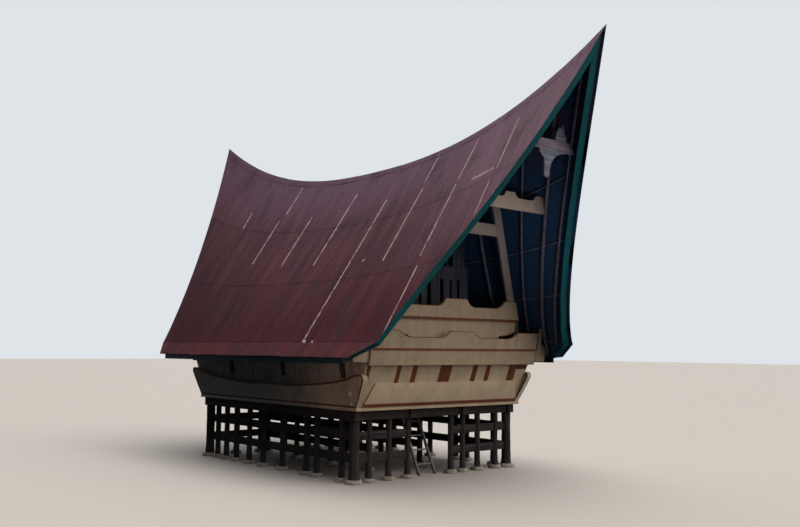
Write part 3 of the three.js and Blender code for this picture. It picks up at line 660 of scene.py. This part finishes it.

# Ledges: three cream boards across each gable, one above the other, the lowest and highest with waved tops.
# A brown line marks the foot of the waved boards, and the middle one spreads in a flat curve at both ends.
# Their paint is darker and greyer than on the walls, as painted shade under the gable.
shaded_ledge_paint = timber("cream paint darkened as painted shade, across", 0, bare_wood, dark_bare, "#bfab8d", bare=0.08, soil=0.3)
ledge_foot = 2.64
ledge_lean = 0.2
ledge_shadow_line = 0.016
ledge_out = 0.49
lower_line = (2.66, 2.98, 3.035)
upper_line = (2.17, 3.715, 3.77)
lower_line_out = ledge_out + ledge_lean * ((lower_line[1] + lower_line[2]) / 2 - ledge_foot)
upper_line_out = 0.44
curve_foot = 3.341
curve_head = 3.66
curve_share = 0.5
gables = [(-1, "front", front_foot), (1, "rear", rear_foot)]
for gable, end_name, foot in gables:
    for part in ("_ledge_lower", "_ledge_middle", "_ledge_upper"):
        node = end_name + part
        board = eased_copy(node, edge=0)
        coat(board, [shaded_ledge_paint, brown_x])
        if part == "_ledge_middle":
            for vertex in board.data.vertices:
                if curve_foot <= vertex.co.z <= curve_head:
                    vertex.co.z = curve_foot + (vertex.co.z - curve_foot) * curve_share
        # The thin brown line round each ledge's front face is painted shadow along its edges.
        edge_line(board, Vector((0, gable, 0)), ledge_shadow_line)
        settle(board, node + "_board", None, "cream_painted_wood", node)
    lines = []
    for (half, z0, z1), out in ((lower_line, lower_line_out), (upper_line, upper_line_out)):
        line = model_board((-half, -stripe_proud, z0), (half, stripe_proud, z1), edge=0.002, cuts=4)
        line.location.y = foot + gable * out
        lines.append(line)
    settle(weld(lines), end_name + "_ledge_lines", [brown_x], "cream_painted_wood")

# Battens: short upright boards beside the ends of the lower ledge, nailed on the ends of the wall plates.
# They lean out as the ledge does and have the walls' cream paint.
batten_inner, batten_outer = 2.75, 2.87
batten_half_depth = 0.02
batten_half_height = 0.29
batten_middle = 3.28
batten_out = ledge_out - batten_half_depth + ledge_lean * (batten_middle - ledge_foot)
for gable, end_name, foot in gables:
    battens = []
    for side in (-1, 1):
        left, right = sorted((side * batten_inner, side * batten_outer))
        batten = model_board((left, -batten_half_depth, -batten_half_height),
                             (right, batten_half_depth, batten_half_height), edge=0.004, cuts=3)
        batten.rotation_euler.x = -gable * atan(ledge_lean)
        batten.location = (0, foot + gable * batten_out, batten_middle)
        battens.append(batten)
    settle(weld(battens), end_name + "_ledge_battens", [cream_z], "cream_painted_wood")

# Gable walls: in front, upright slats with gaps, a rail on their heads, and a small barred window above it.
# A board stands at each side of the window and one lies on top. The rear wall is closed.
# All is bare wood that has gone grey; its dark blue-grey is painted shade under the roof.
shaded_gable_wood = timber("gable boards darkened blue-grey as painted shade, upright", 2, "#585c63", "#2e333a", streak=0.05)
gable_low, gable_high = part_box("front_gable_wall")
slats = [(-0.15, 0.15), (-0.48, -0.27), (0.27, 0.48), (-0.73, -0.55), (0.55, 0.73), (-1.12, -0.82),
         (0.82, 1.12)]
slat_head = 4.76
rail_half, rail_foot, rail_head = 1.12, 4.75, 5.08
window_foot = 5.07
window_boards = [(-1.0, -0.6), (0.6, 1.0)]
window_board_head = 5.78
top_board_half, top_board_foot = 0.9, 5.66
bar_head = 5.68
bar_half = 0.02
bar_pitch = 0.2
flush = (0.0, 0.0)
set_back = (0.008, 0.004)
bar_back = (0.01, 0.01)


def gable_board(left, right, foot, head, back, edge, cuts=2):
    """A board of the front gable wall; back is how far its two faces lie inside those of the wall."""
    low = (left, gable_low.y + back[0], foot)
    high = (right, gable_high.y - back[1], head)
    return model_board(low, high, edge, cuts)


parts = [gable_board(left, right, gable_low.z, slat_head, set_back, 0.004) for left, right in slats]
parts.append(gable_board(-rail_half, rail_half, rail_foot, rail_head, flush, 0.006))
for left, right in window_boards:
    parts.append(gable_board(left, right, window_foot, window_board_head, set_back, 0.005))
parts.append(gable_board(-top_board_half, top_board_half, top_board_foot, gable_high.z, flush, 0.006))
for bar in range(-2, 3):
    x = bar_pitch * bar
    parts.append(gable_board(x - bar_half, x + bar_half, window_foot, bar_head, bar_back, 0.004, 1))
settle(weld(parts), "front_gable_boards", [shaded_gable_wood], "weathered_wood", "front_gable_wall")
# The rear gable boards have the same painted shade.
dress("rear_gable_wall", "rear_gable_boards", 0.005, shaded_gable_wood, "weathered_wood")

# Gable frame: two sawn legs that lean forwards, the ties between them and the beam on their heads.
# The roof shelters their cream paint, so it is dull but whole. The upper tie is bare grey wood.
# The legs' paint is darker than the ties', as painted shade.
shaded_leg_paint = timber("sheltered cream paint darkened as painted shade, upright", 2, bare_wood, dark_bare, "#b3a594", bare=0.1, soil=0.25)
tie_paint = timber("sheltered cream paint, across", 0, bare_wood, dark_bare, "#c8b9a2", bare=0.1, soil=0.25)
for side_name in ("left", "right"):
    node = "front_gable_leg_" + side_name
    dress(node, node + "_board", 0.008, shaded_leg_paint, "cream_painted_wood")
for node in ("front_gable_tie", "front_collar_tie", "rear_collar_tie"):
    dress(node, node + "_board", 0.006, tie_paint, "cream_painted_wood")
# The head beam has the same smoked finish with its painted shade.
dress("front_head_beam", "front_head_beam_log", 0.006, smoked_shaded_beam_wood, "dark_wood")

# A band across the upper tie still has the grain tinted by thin red-grey paint.
grey_tie = timber("bare grey board, across", 0, "#979ca8", "#5c606e", streak=0.05)
mauve_tie = timber("old red-grey paint, across", 0, "#928792", "#675e6c", streak=0.05)
tie = eased_copy("front_upper_tie", edge=0.004)
coat(tie, [grey_tie, mauve_tie])
painted_from, painted_to = 7.35, 7.57
painted_face = 1
for height in (painted_from, painted_to):
    only(tie)
    edit()
    bpy.ops.mesh.bisect(plane_co=(0, 0, height), plane_no=(0, 0, 1))
    leave_edit()
for face in tie.data.polygons:
    if painted_from < face.center.z < painted_to:
        face.material_index = painted_face
settle(tie, "front_upper_tie_board", None, "weathered_wood", "front_upper_tie")

# Rafters and purlins: round poles, peeled but not squared, tied where they cross under the sheets.
# The rafters run down the slope, and the thinner purlins lie on top of them, along the house.
half_width = 3.5
half_length = 7.82
kink_half_width = 3.18
kink_height = 3.17
eave_height = 2.83
kink_share = kink_half_width / half_width
ridge_middle = 7.775
ridge_rise = 1.995
sag_power = 2.42
sweep_power = 1.3
gable_edges = {-1: (3.7, 4.3), 1: (5.25, 5.7)}
purlin_setback = 0.3
purlin_shares = [0.06, 0.28, 0.48, 0.68, 0.88]
edge_place = 0.96
thick_places = (0.868, 0.5)
rafter_places = [edge_place, 0.868, 0.74, 0.5, 0.3, 0.1]
rafter_head = 0.02
rafter_foot = 0.975
edge_rafter_foot = 0.875
rafter_depth = 0.104
purlin_depth = 0.046
thick_radius = 0.044
rafter_radius = 0.032
purlin_radius = 0.022
taper = 0.12


def under_sheet(side, share, y, depth):
    """The point at a share of the way down a slope and a depth below the top of the sheets.

    The ridge sags in the middle and rises towards its tips."""
    ridge = ridge_middle + ridge_rise * (abs(y) / half_length) ** sag_power
    if share > kink_share:
        z = kink_height - (kink_height - eave_height) * (share - kink_share) / (1 - kink_share)
    else:
        z = ridge - (ridge - kink_height) * share / kink_share
    drop = depth * hypot(kink_half_width, ridge - kink_height) / kink_half_width
    return Vector((side * half_width * share, y, z - drop))


def reach(gable, share):
    """How far the sheets reach towards a gable at a share of the way down."""
    eave_reach, kink_reach = gable_edges[gable]
    if share > kink_share:
        return kink_reach + (eave_reach - kink_reach) * (share - kink_share) / (1 - kink_share)
    return kink_reach + (half_length - kink_reach) * (1 - share / kink_share) ** sweep_power


def spread(start, end, count):
    """A number of evenly spaced values from start to end."""
    return [start + (end - start) * i / (count - 1) for i in range(count)]


def model_pole(points, radius, roundness=2):
    """A round pole along points, thinner towards its far end."""
    path = bpy.data.curves.new("pole", "CURVE")
    path.dimensions = "3D"
    path.bevel_depth = radius
    path.bevel_resolution = roundness
    path.use_fill_caps = True
    spline = path.splines.new("POLY")
    spline.points.add(len(points) - 1)
    for place, (point, target) in enumerate(zip(spline.points, points)):
        point.co = (*target, 1)
        point.radius = 1 - taper * place / len(points)
    pole = bpy.data.objects.new("pole", path)
    link(pole)
    only(pole)
    bpy.ops.object.convert(target="MESH")
    pole = bpy.context.active_object
    smooth(50)
    return pole


pole_wood = timber("peeled grey poles", 2, "#a39a9e", "#6c656c", streak=0.05)
lath_wood = timber("grey purlin poles", 1, "#8d9199", "#5c6068", streak=0.05)
for side, side_name in sides:
    poles = []
    purlins = []
    for gable in (-1, 1):
        for place in rafter_places:
            foot = edge_rafter_foot if place == edge_place else kink_share
            shares = spread(foot, rafter_head, 10)
            if place != edge_place:
                shares.insert(0, rafter_foot)
            line = []
            for share in shares:
                y = gable * place * (reach(gable, share) - purlin_setback)
                line.append(under_sheet(side, share, y, rafter_depth))
            poles.append(model_pole(line, thick_radius if place in thick_places else rafter_radius))
    for share in purlin_shares:
        line = []
        for station in spread(-1, 1, 33):
            gable = -1 if station < 0 else 1
            y = station * (reach(gable, share) - purlin_setback)
            line.append(under_sheet(side, share, y, purlin_depth))
        purlins.append(model_pole(line, purlin_radius))
    settle(weld(poles), "rafter_poles_" + side_name, [pole_wood], "dark_wood", "roof_frame_" + side_name)
    settle(weld(purlins), "purlin_poles_" + side_name, [lath_wood], "dark_wood")

# The ridge log is a thicker pole under the heads of the rafters and ends short of the tips.
ridge_reach = 6.7
ridge_radius = 0.06
ridge_depth = 0.135
ridge_drop = 0.065
ridge_line = []
for station in spread(-1, 1, 31):
    y = ridge_reach * station
    beside = under_sheet(1, ridge_radius / half_width, y, ridge_depth)
    ridge_line.append(Vector((0, y, beside.z - ridge_drop)))
ridge_log = model_pole(ridge_line, ridge_radius, roundness=3)
settle(ridge_log, "ridge_log", [pole_wood], "dark_wood", "ridge_pole")

# Roof sheets: thin corrugated steel nailed to the purlins in overlapping rows, painted red-brown long ago.
# The paint has faded and rusted in streaks down the slope. Pale lines show where the side laps were sealed.
corrugation = 0.076
wave_depth = 0.01
sheet_cover = 0.75
lap_shares = [0.0, 0.31, 0.61, kink_share, 1.0]
edge_fade = 0.22
ridge_fold = 0.08
lap_step = 0.004
sheet_gauge = 0.003
columns_per_wave = 6


def last_share(y):
    """How far down the slope the sheets run at a place along the ridge."""
    gable = -1 if y < 0 else 1
    eave_reach, kink_reach = gable_edges[gable]
    out = abs(y)
    if out <= eave_reach:
        return 1.0
    if out <= kink_reach:
        return kink_share + (1 - kink_share) * (kink_reach - out) / (kink_reach - eave_reach)
    tip_share = (out - kink_reach) / (half_length - kink_reach)
    return kink_share * max(0.0, 1 - tip_share ** (1 / sweep_power))


# A narrow strip of faces at both ends of each row keeps the laps crisp in smooth shading.
lap_edge = 0.0012
lap_strip = 0.004
rows = []
for start, end in zip(lap_shares, lap_shares[1:]):
    steps = 3 if end < 1 else 2
    head = start + lap_edge if start > 0 else start
    inner = spread(start, end, steps + 1)[1:-1]
    for share in (head, head + lap_strip, *inner, end - lap_strip, end):
        rows.append((share, lap_step * (end - share) / (end - start)))
columns = columns_per_wave * ceil(2 * half_length / corrugation)

# Outside, the sheets are dull red-brown to purple, and the noise is stretched down the slope as rain runs.
# A wide run of rust is some 0.4 m across and 1.6 m long, and a thin one 60 mm across and 1.2 m long.
sheet_paint, tree, shader = new_finish("faded red-brown sheet paint with rust")
place = add(tree, "TexCoord")["Object"]
axes = add(tree, "SeparateXYZ", {"Vector": place})
down = add(tree, "Math", {0: axes["X"]}, operation="ABSOLUTE")["Value"]
share = add(tree, "Math", {0: down, 1: half_width}, operation="DIVIDE")["Value"]
run_path = add(tree, "CombineXYZ", {"X": share, "Y": axes["Y"]})["Vector"]
wide_run = add(tree, "Mapping", {"Vector": run_path, "Scale": (2.2, 2.6, 1)})["Vector"]
wide = add(tree, "TexNoise", {"Vector": wide_run, "Scale": 1.0, "Detail": 6.0, "Roughness": 0.62})["Fac"]
thin_run = add(tree, "Mapping", {"Vector": run_path, "Scale": (3.0, 17.0, 1)})["Vector"]
thin = add(tree, "TexNoise", {"Vector": thin_run, "Scale": 1.0, "Detail": 5.0, "Roughness": 0.65})["Fac"]
wide_range = add(tree, "MapRange", {"Value": wide, "From Min": 0.3, "From Max": 0.7})["Result"]
thin_range = add(tree, "MapRange", {"Value": thin, "From Min": 0.35, "From Max": 0.7})["Result"]
low_tone = add(tree, "MixRGB",
               {"Fac": wide_range, "Color1": linear("#3b1a21"), "Color2": linear("#61272d")})["Color"]
sheen_tone = add(tree, "MixRGB",
                {"Fac": wide_range, "Color1": linear("#5f4150"), "Color2": linear("#855b64")})["Color"]
# Higher up the slope and near the ridge the sheets turn paler and purple: a painted reflection of the bright
# sky.
sky_sheen_up_slope = add(tree, "MapRange", {"Value": share, "From Min": 0.84, "From Max": 0.04})["Result"]
with_sky_sheen = add(tree, "MixRGB", {"Fac": sky_sheen_up_slope, "Color1": low_tone, "Color2": sheen_tone})["Color"]
sky_sheen_near_ridge = add(tree, "MapRange", {"Value": share, "From Min": 0.32, "From Max": 0.06})["Result"]
tone = add(tree, "MixRGB", {"Fac": sky_sheen_near_ridge, "Color1": with_sky_sheen, "Color2": linear("#7a5c70")})["Color"]
# Towards the front tip the upper slope is painted paler: painted light where the tip faces the sky.
near_tip = add(tree, "MapRange", {"Value": axes["Y"], "From Min": -2.6, "From Max": -7.0})["Result"]
paled = add(tree, "MapRange",
            {"Value": share, "From Min": 0.72, "From Max": 0.25, "To Max": near_tip})["Result"]
tip_painted_light = add(tree, "MixRGB", {"Fac": paled, "Color1": tone, "Color2": linear("#987a87")})["Color"]
toned = add(tree, "MixRGB", {"Fac": thin_range, "Color1": tip_painted_light, "Color2": linear("#d8c8c4")},
            blend_type="MULTIPLY")["Color"]

# Each sheet weathered by itself, so its tone differs a little from its neighbours'. The front is painted
# paler as sunlight.
sheet_number = add(tree, "Math", {0: axes["Y"], 1: sheet_cover}, operation="DIVIDE")["Value"]
sheet_step = add(tree, "Math", {0: sheet_number}, operation="FLOOR")["Value"]
row_number = add(tree, "Math", {0: share, 1: lap_shares[1]}, operation="DIVIDE")["Value"]
row_step = add(tree, "Math", {0: row_number}, operation="FLOOR")["Value"]
cell = add(tree, "CombineXYZ", {"X": sheet_step, "Y": row_step})["Vector"]
own = add(tree, "TexWhiteNoise", {"Vector": cell})["Value"]
own_tone = add(tree, "MapRange", {"Value": own, "To Min": 0.92, "To Max": 1.07})["Result"]
painted_sunlight_front = add(tree, "MapRange",
               {"Value": axes["Y"], "From Min": 4, "From Max": -5, "To Min": 0.93, "To Max": 1.06})["Result"]
tone_share = add(tree, "Math", {0: own_tone, 1: painted_sunlight_front}, operation="MULTIPLY")["Value"]
varied = add(tree, "VectorMath", {0: toned, 1: tone_share}, operation="MULTIPLY")["Vector"]

# Soot and damp left soft dark blotches, up to about 0.8 m across.
blotch_run = add(tree, "Mapping", {"Vector": run_path, "Scale": (4.5, 1.3, 1)})["Vector"]
blotch = add(tree, "TexNoise", {"Vector": blotch_run, "Scale": 1.0, "Detail": 3.0, "Roughness": 0.55})["Fac"]
sooty = add(tree, "MapRange", {"Value": blotch, "From Min": 0.52, "From Max": 0.72, "To Max": 0.6})["Result"]
varied = add(tree, "MixRGB", {"Fac": sooty, "Color1": varied, "Color2": linear("#3a2c33")})["Color"]

# The sealed seams: the place of each along the ridge, and the shares of the slope between which it shows.
# A seam is moved to the side of its wave that faces the front. A few short bare scratches follow the seams.
seams = [(-5.65, 0.08, 0.29), (-5.54, 0.33, 0.46), (-4.3, 0.05, 0.24), (-4.31, 0.26, 0.57),
         (-4.35, 0.61, 0.9), (-2.8, 0.02, 0.17), (-2.91, 0.2, 0.55), (-1.53, 0.2, 0.91), (0.03, 0.12, 0.52),
         (1.62, 0.22, 0.51), (3.1, 0.04, 0.2), (3.22, 0.24, 0.49), (4.93, 0.22, 0.31)]
seam_half = 0.018
wave_side = 0.75
fray = 0.012
scars = []
for seam, start, end in seams:
    middle = (round(seam / corrugation - wave_side) + wave_side) * corrugation
    scars.append((middle - seam_half, middle + seam_half, start, end))
scars += [(-5.51, -4.85, 0.272, 0.283), (-1.64, -1.56, 0.9, 0.912), (-1.95, -1.86, 0.903, 0.913),
          (-4.5, -4.43, 0.9, 0.91), (-4.34, -4.2, 0.925, 0.935), (-2.14, -2.06, 0.526, 0.536)]
bared = None
ragged_path = add(tree, "Mapping", {"Vector": run_path, "Scale": (40, 30, 1)})["Vector"]
ragged = add(tree, "TexNoise", {"Vector": ragged_path, "Scale": 1.0, "Detail": 3.0})["Fac"]
wander = add(tree, "MapRange", {"Value": ragged, "To Min": -fray, "To Max": fray})["Result"]
across = add(tree, "Math", {0: axes["Y"], 1: wander}, operation="ADD")["Value"]
for left, right, start, end in scars:
    beside = add(tree, "Math", {0: across, 1: (left + right) / 2, 2: (right - left) / 2},
                 operation="COMPARE")["Value"]
    between = add(tree, "Math", {0: share, 1: (start + end) / 2, 2: (end - start) / 2},
                  operation="COMPARE")["Value"]
    bared = add(tree, "Math", {0: beside, 1: between, 2: bared or 0.0}, operation="MULTIPLY_ADD")["Value"]
gaps = add(tree, "MapRange",
           {"Value": ragged, "From Min": 0.38, "From Max": 0.56, "To Min": 0.25, "To Max": 1.0})["Result"]
bared = add(tree, "Math", {0: bared, 1: gaps}, operation="MULTIPLY")["Value"]
seamed = add(tree, "MixRGB", {"Fac": bared, "Color1": varied, "Color2": linear("#cbadac")})["Color"]
sheet_bump = add(tree, "Bump", {"Height": thin, "Strength": 0.25, "Distance": 0.003})["Normal"]
feed(tree, shader, {"Base Color": seamed, "Normal": sheet_bump, "Roughness": 0.7,
                    "Specular IOR Level": 0.22})

# Below, the sheets were never painted: the zinc is dull grey, tinted blue as painted shade, and rust blooms
# near the ridge.
sheet_under, tree, shader = new_finish("dull zinc tinted blue as painted shade, with rust bloom")
place = add(tree, "TexCoord")["Object"]
bloom = add(tree, "TexNoise", {"Vector": place, "Scale": 1.4, "Detail": 7.0, "Roughness": 0.65})["Fac"]
bloom_range = add(tree, "MapRange", {"Value": bloom, "From Min": 0.47, "From Max": 0.6})["Result"]
height = add(tree, "SeparateXYZ", {"Vector": place})["Z"]
near_ridge = add(tree, "MapRange", {"Value": height, "From Min": 7.0, "From Max": 8.0})["Result"]
rust = add(tree, "Math", {0: bloom_range, 1: near_ridge}, operation="MULTIPLY")["Value"]
zinc = add(tree, "MixRGB", {"Fac": rust, "Color1": linear("#284e6a"), "Color2": linear("#6a4a62")})["Color"]
feed(tree, shader, {"Base Color": zinc, "Roughness": 0.7})

most_lift = 0.003
most_trim = 0.004
sheet_numbers = range(40)


def make_plate(grid, thickness, angle, under=0):
    """Merges a grid's doubled points, turns it face up and thickens it downwards."""
    edit()
    bpy.ops.mesh.remove_doubles(threshold=0.0004)
    leave_edit()
    middle_face = grid.data.polygons[len(grid.data.polygons) // 2]
    if middle_face.normal.z < 0:
        grid.data.flip_normals()
    gauge = grid.modifiers.new("gauge", "SOLIDIFY")
    gauge.thickness = thickness
    gauge.offset = -1
    gauge.material_offset = under
    bpy.ops.object.modifier_apply(modifier=gauge.name)
    smooth(angle)


for side, side_name in sides:
    sheets = begin(bpy.ops.mesh.primitive_grid_add, x_subdivisions=len(rows) - 1,
                   y_subdivisions=columns, size=1)
    wild = random.Random(11 + side)
    lifts = [wild.uniform(0, most_lift) for _ in sheet_numbers]
    trims = [wild.uniform(-most_trim, 0.0) for _ in sheet_numbers]
    for vertex in sheets.data.vertices:
        row = round((vertex.co.x + 0.5) * (len(rows) - 1))
        y = 2 * (half_length - sheet_gauge) * vertex.co.y
        number = floor((y + half_length) / sheet_cover)
        row_share, step = rows[row]
        end = last_share(y)
        if row_share == 1.0:
            row_share += trims[number]
        used = min(row_share, end)
        from_edge = min(1.0, max(0.0, (end - used) / edge_fade)) if end < 1 else 1.0
        from_ridge = min(1.0, used / ridge_fold)
        wave = wave_depth * from_edge * from_ridge * (1 - cos(2 * pi * y / corrugation)) / 2
        vertex.co = under_sheet(side, used, y, step + lifts[number] + wave)
    coat(sheets, [sheet_paint, sheet_under])
    make_plate(sheets, sheet_gauge, angle=33, under=1)
    settle(sheets, "roof_sheets_" + side_name, None, "rusted_sheet", "roof_" + side_name)

# Ridge cap: folded steel strips over the top of both slopes, each lapped over the next.
# They are painted like the sheets, and their edges are dressed down onto them.
cap_length = 1.8
lap_offset = 30
cap_gauge = 0.003
cap_share = 0.032
cap_edge = 0.9
cap_rows = 170
cap_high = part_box("ridge_cap")[1]
cap = begin(bpy.ops.mesh.primitive_grid_add, x_subdivisions=6, y_subdivisions=cap_rows, size=1)
for vertex in cap.data.vertices:
    fold = vertex.co.x * 2
    y = 2 * (cap_high.y - cap_gauge) * vertex.co.y
    lap = ((y + lap_offset) % cap_length) / cap_length
    side = -1 if fold < 0 else 1
    used = min(abs(fold) * cap_share, last_share(y))
    dressed_down = lap_step if abs(fold) > cap_edge else 0.0
    vertex.co = under_sheet(side, used, y, cap_gauge * (lap - 1) + dressed_down)
make_plate(cap, cap_gauge, angle=40)
settle(cap, "ridge_flashing", [sheet_paint], "rusted_sheet", "ridge_cap")

# Bargeboards and eave boards: planed boards nailed under the edges of the sheets, painted green.
# The bargeboards have weathered to a matt blue-green, and dirt off the sheets has darkened the eave boards.
green_z = timber("weathered blue-green paint", 2, "#1f4d52", "#0e2f33", "#1e6e70", bare=0.06, soil=0.3)
green_z.node_tree.nodes["Principled BSDF"].inputs["Specular IOR Level"].default_value = 0.15
green_y = timber("weathered blue-green paint, lengthways", 1, "#45524c", "#26302d", "#123f3d", soil=0.5)
for end_name in ("front", "rear"):
    for side_name in ("left", "right"):
        node = f"bargeboard_{end_name}_{side_name}"
        dress(node, node + "_plank", 0.005, green_z, "green_painted_wood", angle=40)
for side_name in ("left", "right"):
    node = "eave_board_" + side_name
    dress(node, node + "_plank", 0.004, green_y, "green_painted_wood")

# Entry ladder: two squared rails with rungs let into them, leaning on the rear edge of the hatch.
# Hands and feet have worn the bare wood smooth and pale grey.
ladder_middle = -0.15
ladder_lean = 0.49
ladder_foot = -2.5
ladder_top = 1.76
rung_heights = [0.24, 0.57, 0.9, 1.23]
rail_place = 0.255
half_rail = (0.025, 0.035, 1.1)
rung_radius = 0.021
rung_points = (-1, -0.4, 0.3, 1)
rails = []
for side in (-1, 1):
    rail = model_board([-half for half in half_rail], half_rail, edge=0.007, cuts=6)
    rail.rotation_euler.x = -atan(ladder_lean)
    rail.location = (ladder_middle + side * rail_place,
                     ladder_foot + ladder_lean * ladder_top / 2, ladder_top / 2)
    only(rail)
    fix_place()
    edit()
    for height, below in ((0.0, True), (ladder_top, False)):
        bpy.ops.mesh.select_all(action="SELECT")
        bpy.ops.mesh.bisect(plane_co=(0, 0, height), plane_no=(0, 0, 1), use_fill=True,
                            clear_inner=below, clear_outer=not below)
    leave_edit()
    rails.append(rail)
for height in rung_heights:
    y = ladder_foot + ladder_lean * height
    line = [Vector((ladder_middle + across * rail_place, y, height)) for across in rung_points]
    rails.append(model_pole(line, rung_radius))
ladder_wood = timber("worn grey ladder wood", 2, "#a09b92", "#5d5852", streak=0.03)
settle(weld(rails), "ladder", [ladder_wood], "weathered_wood", "entry_ladder")
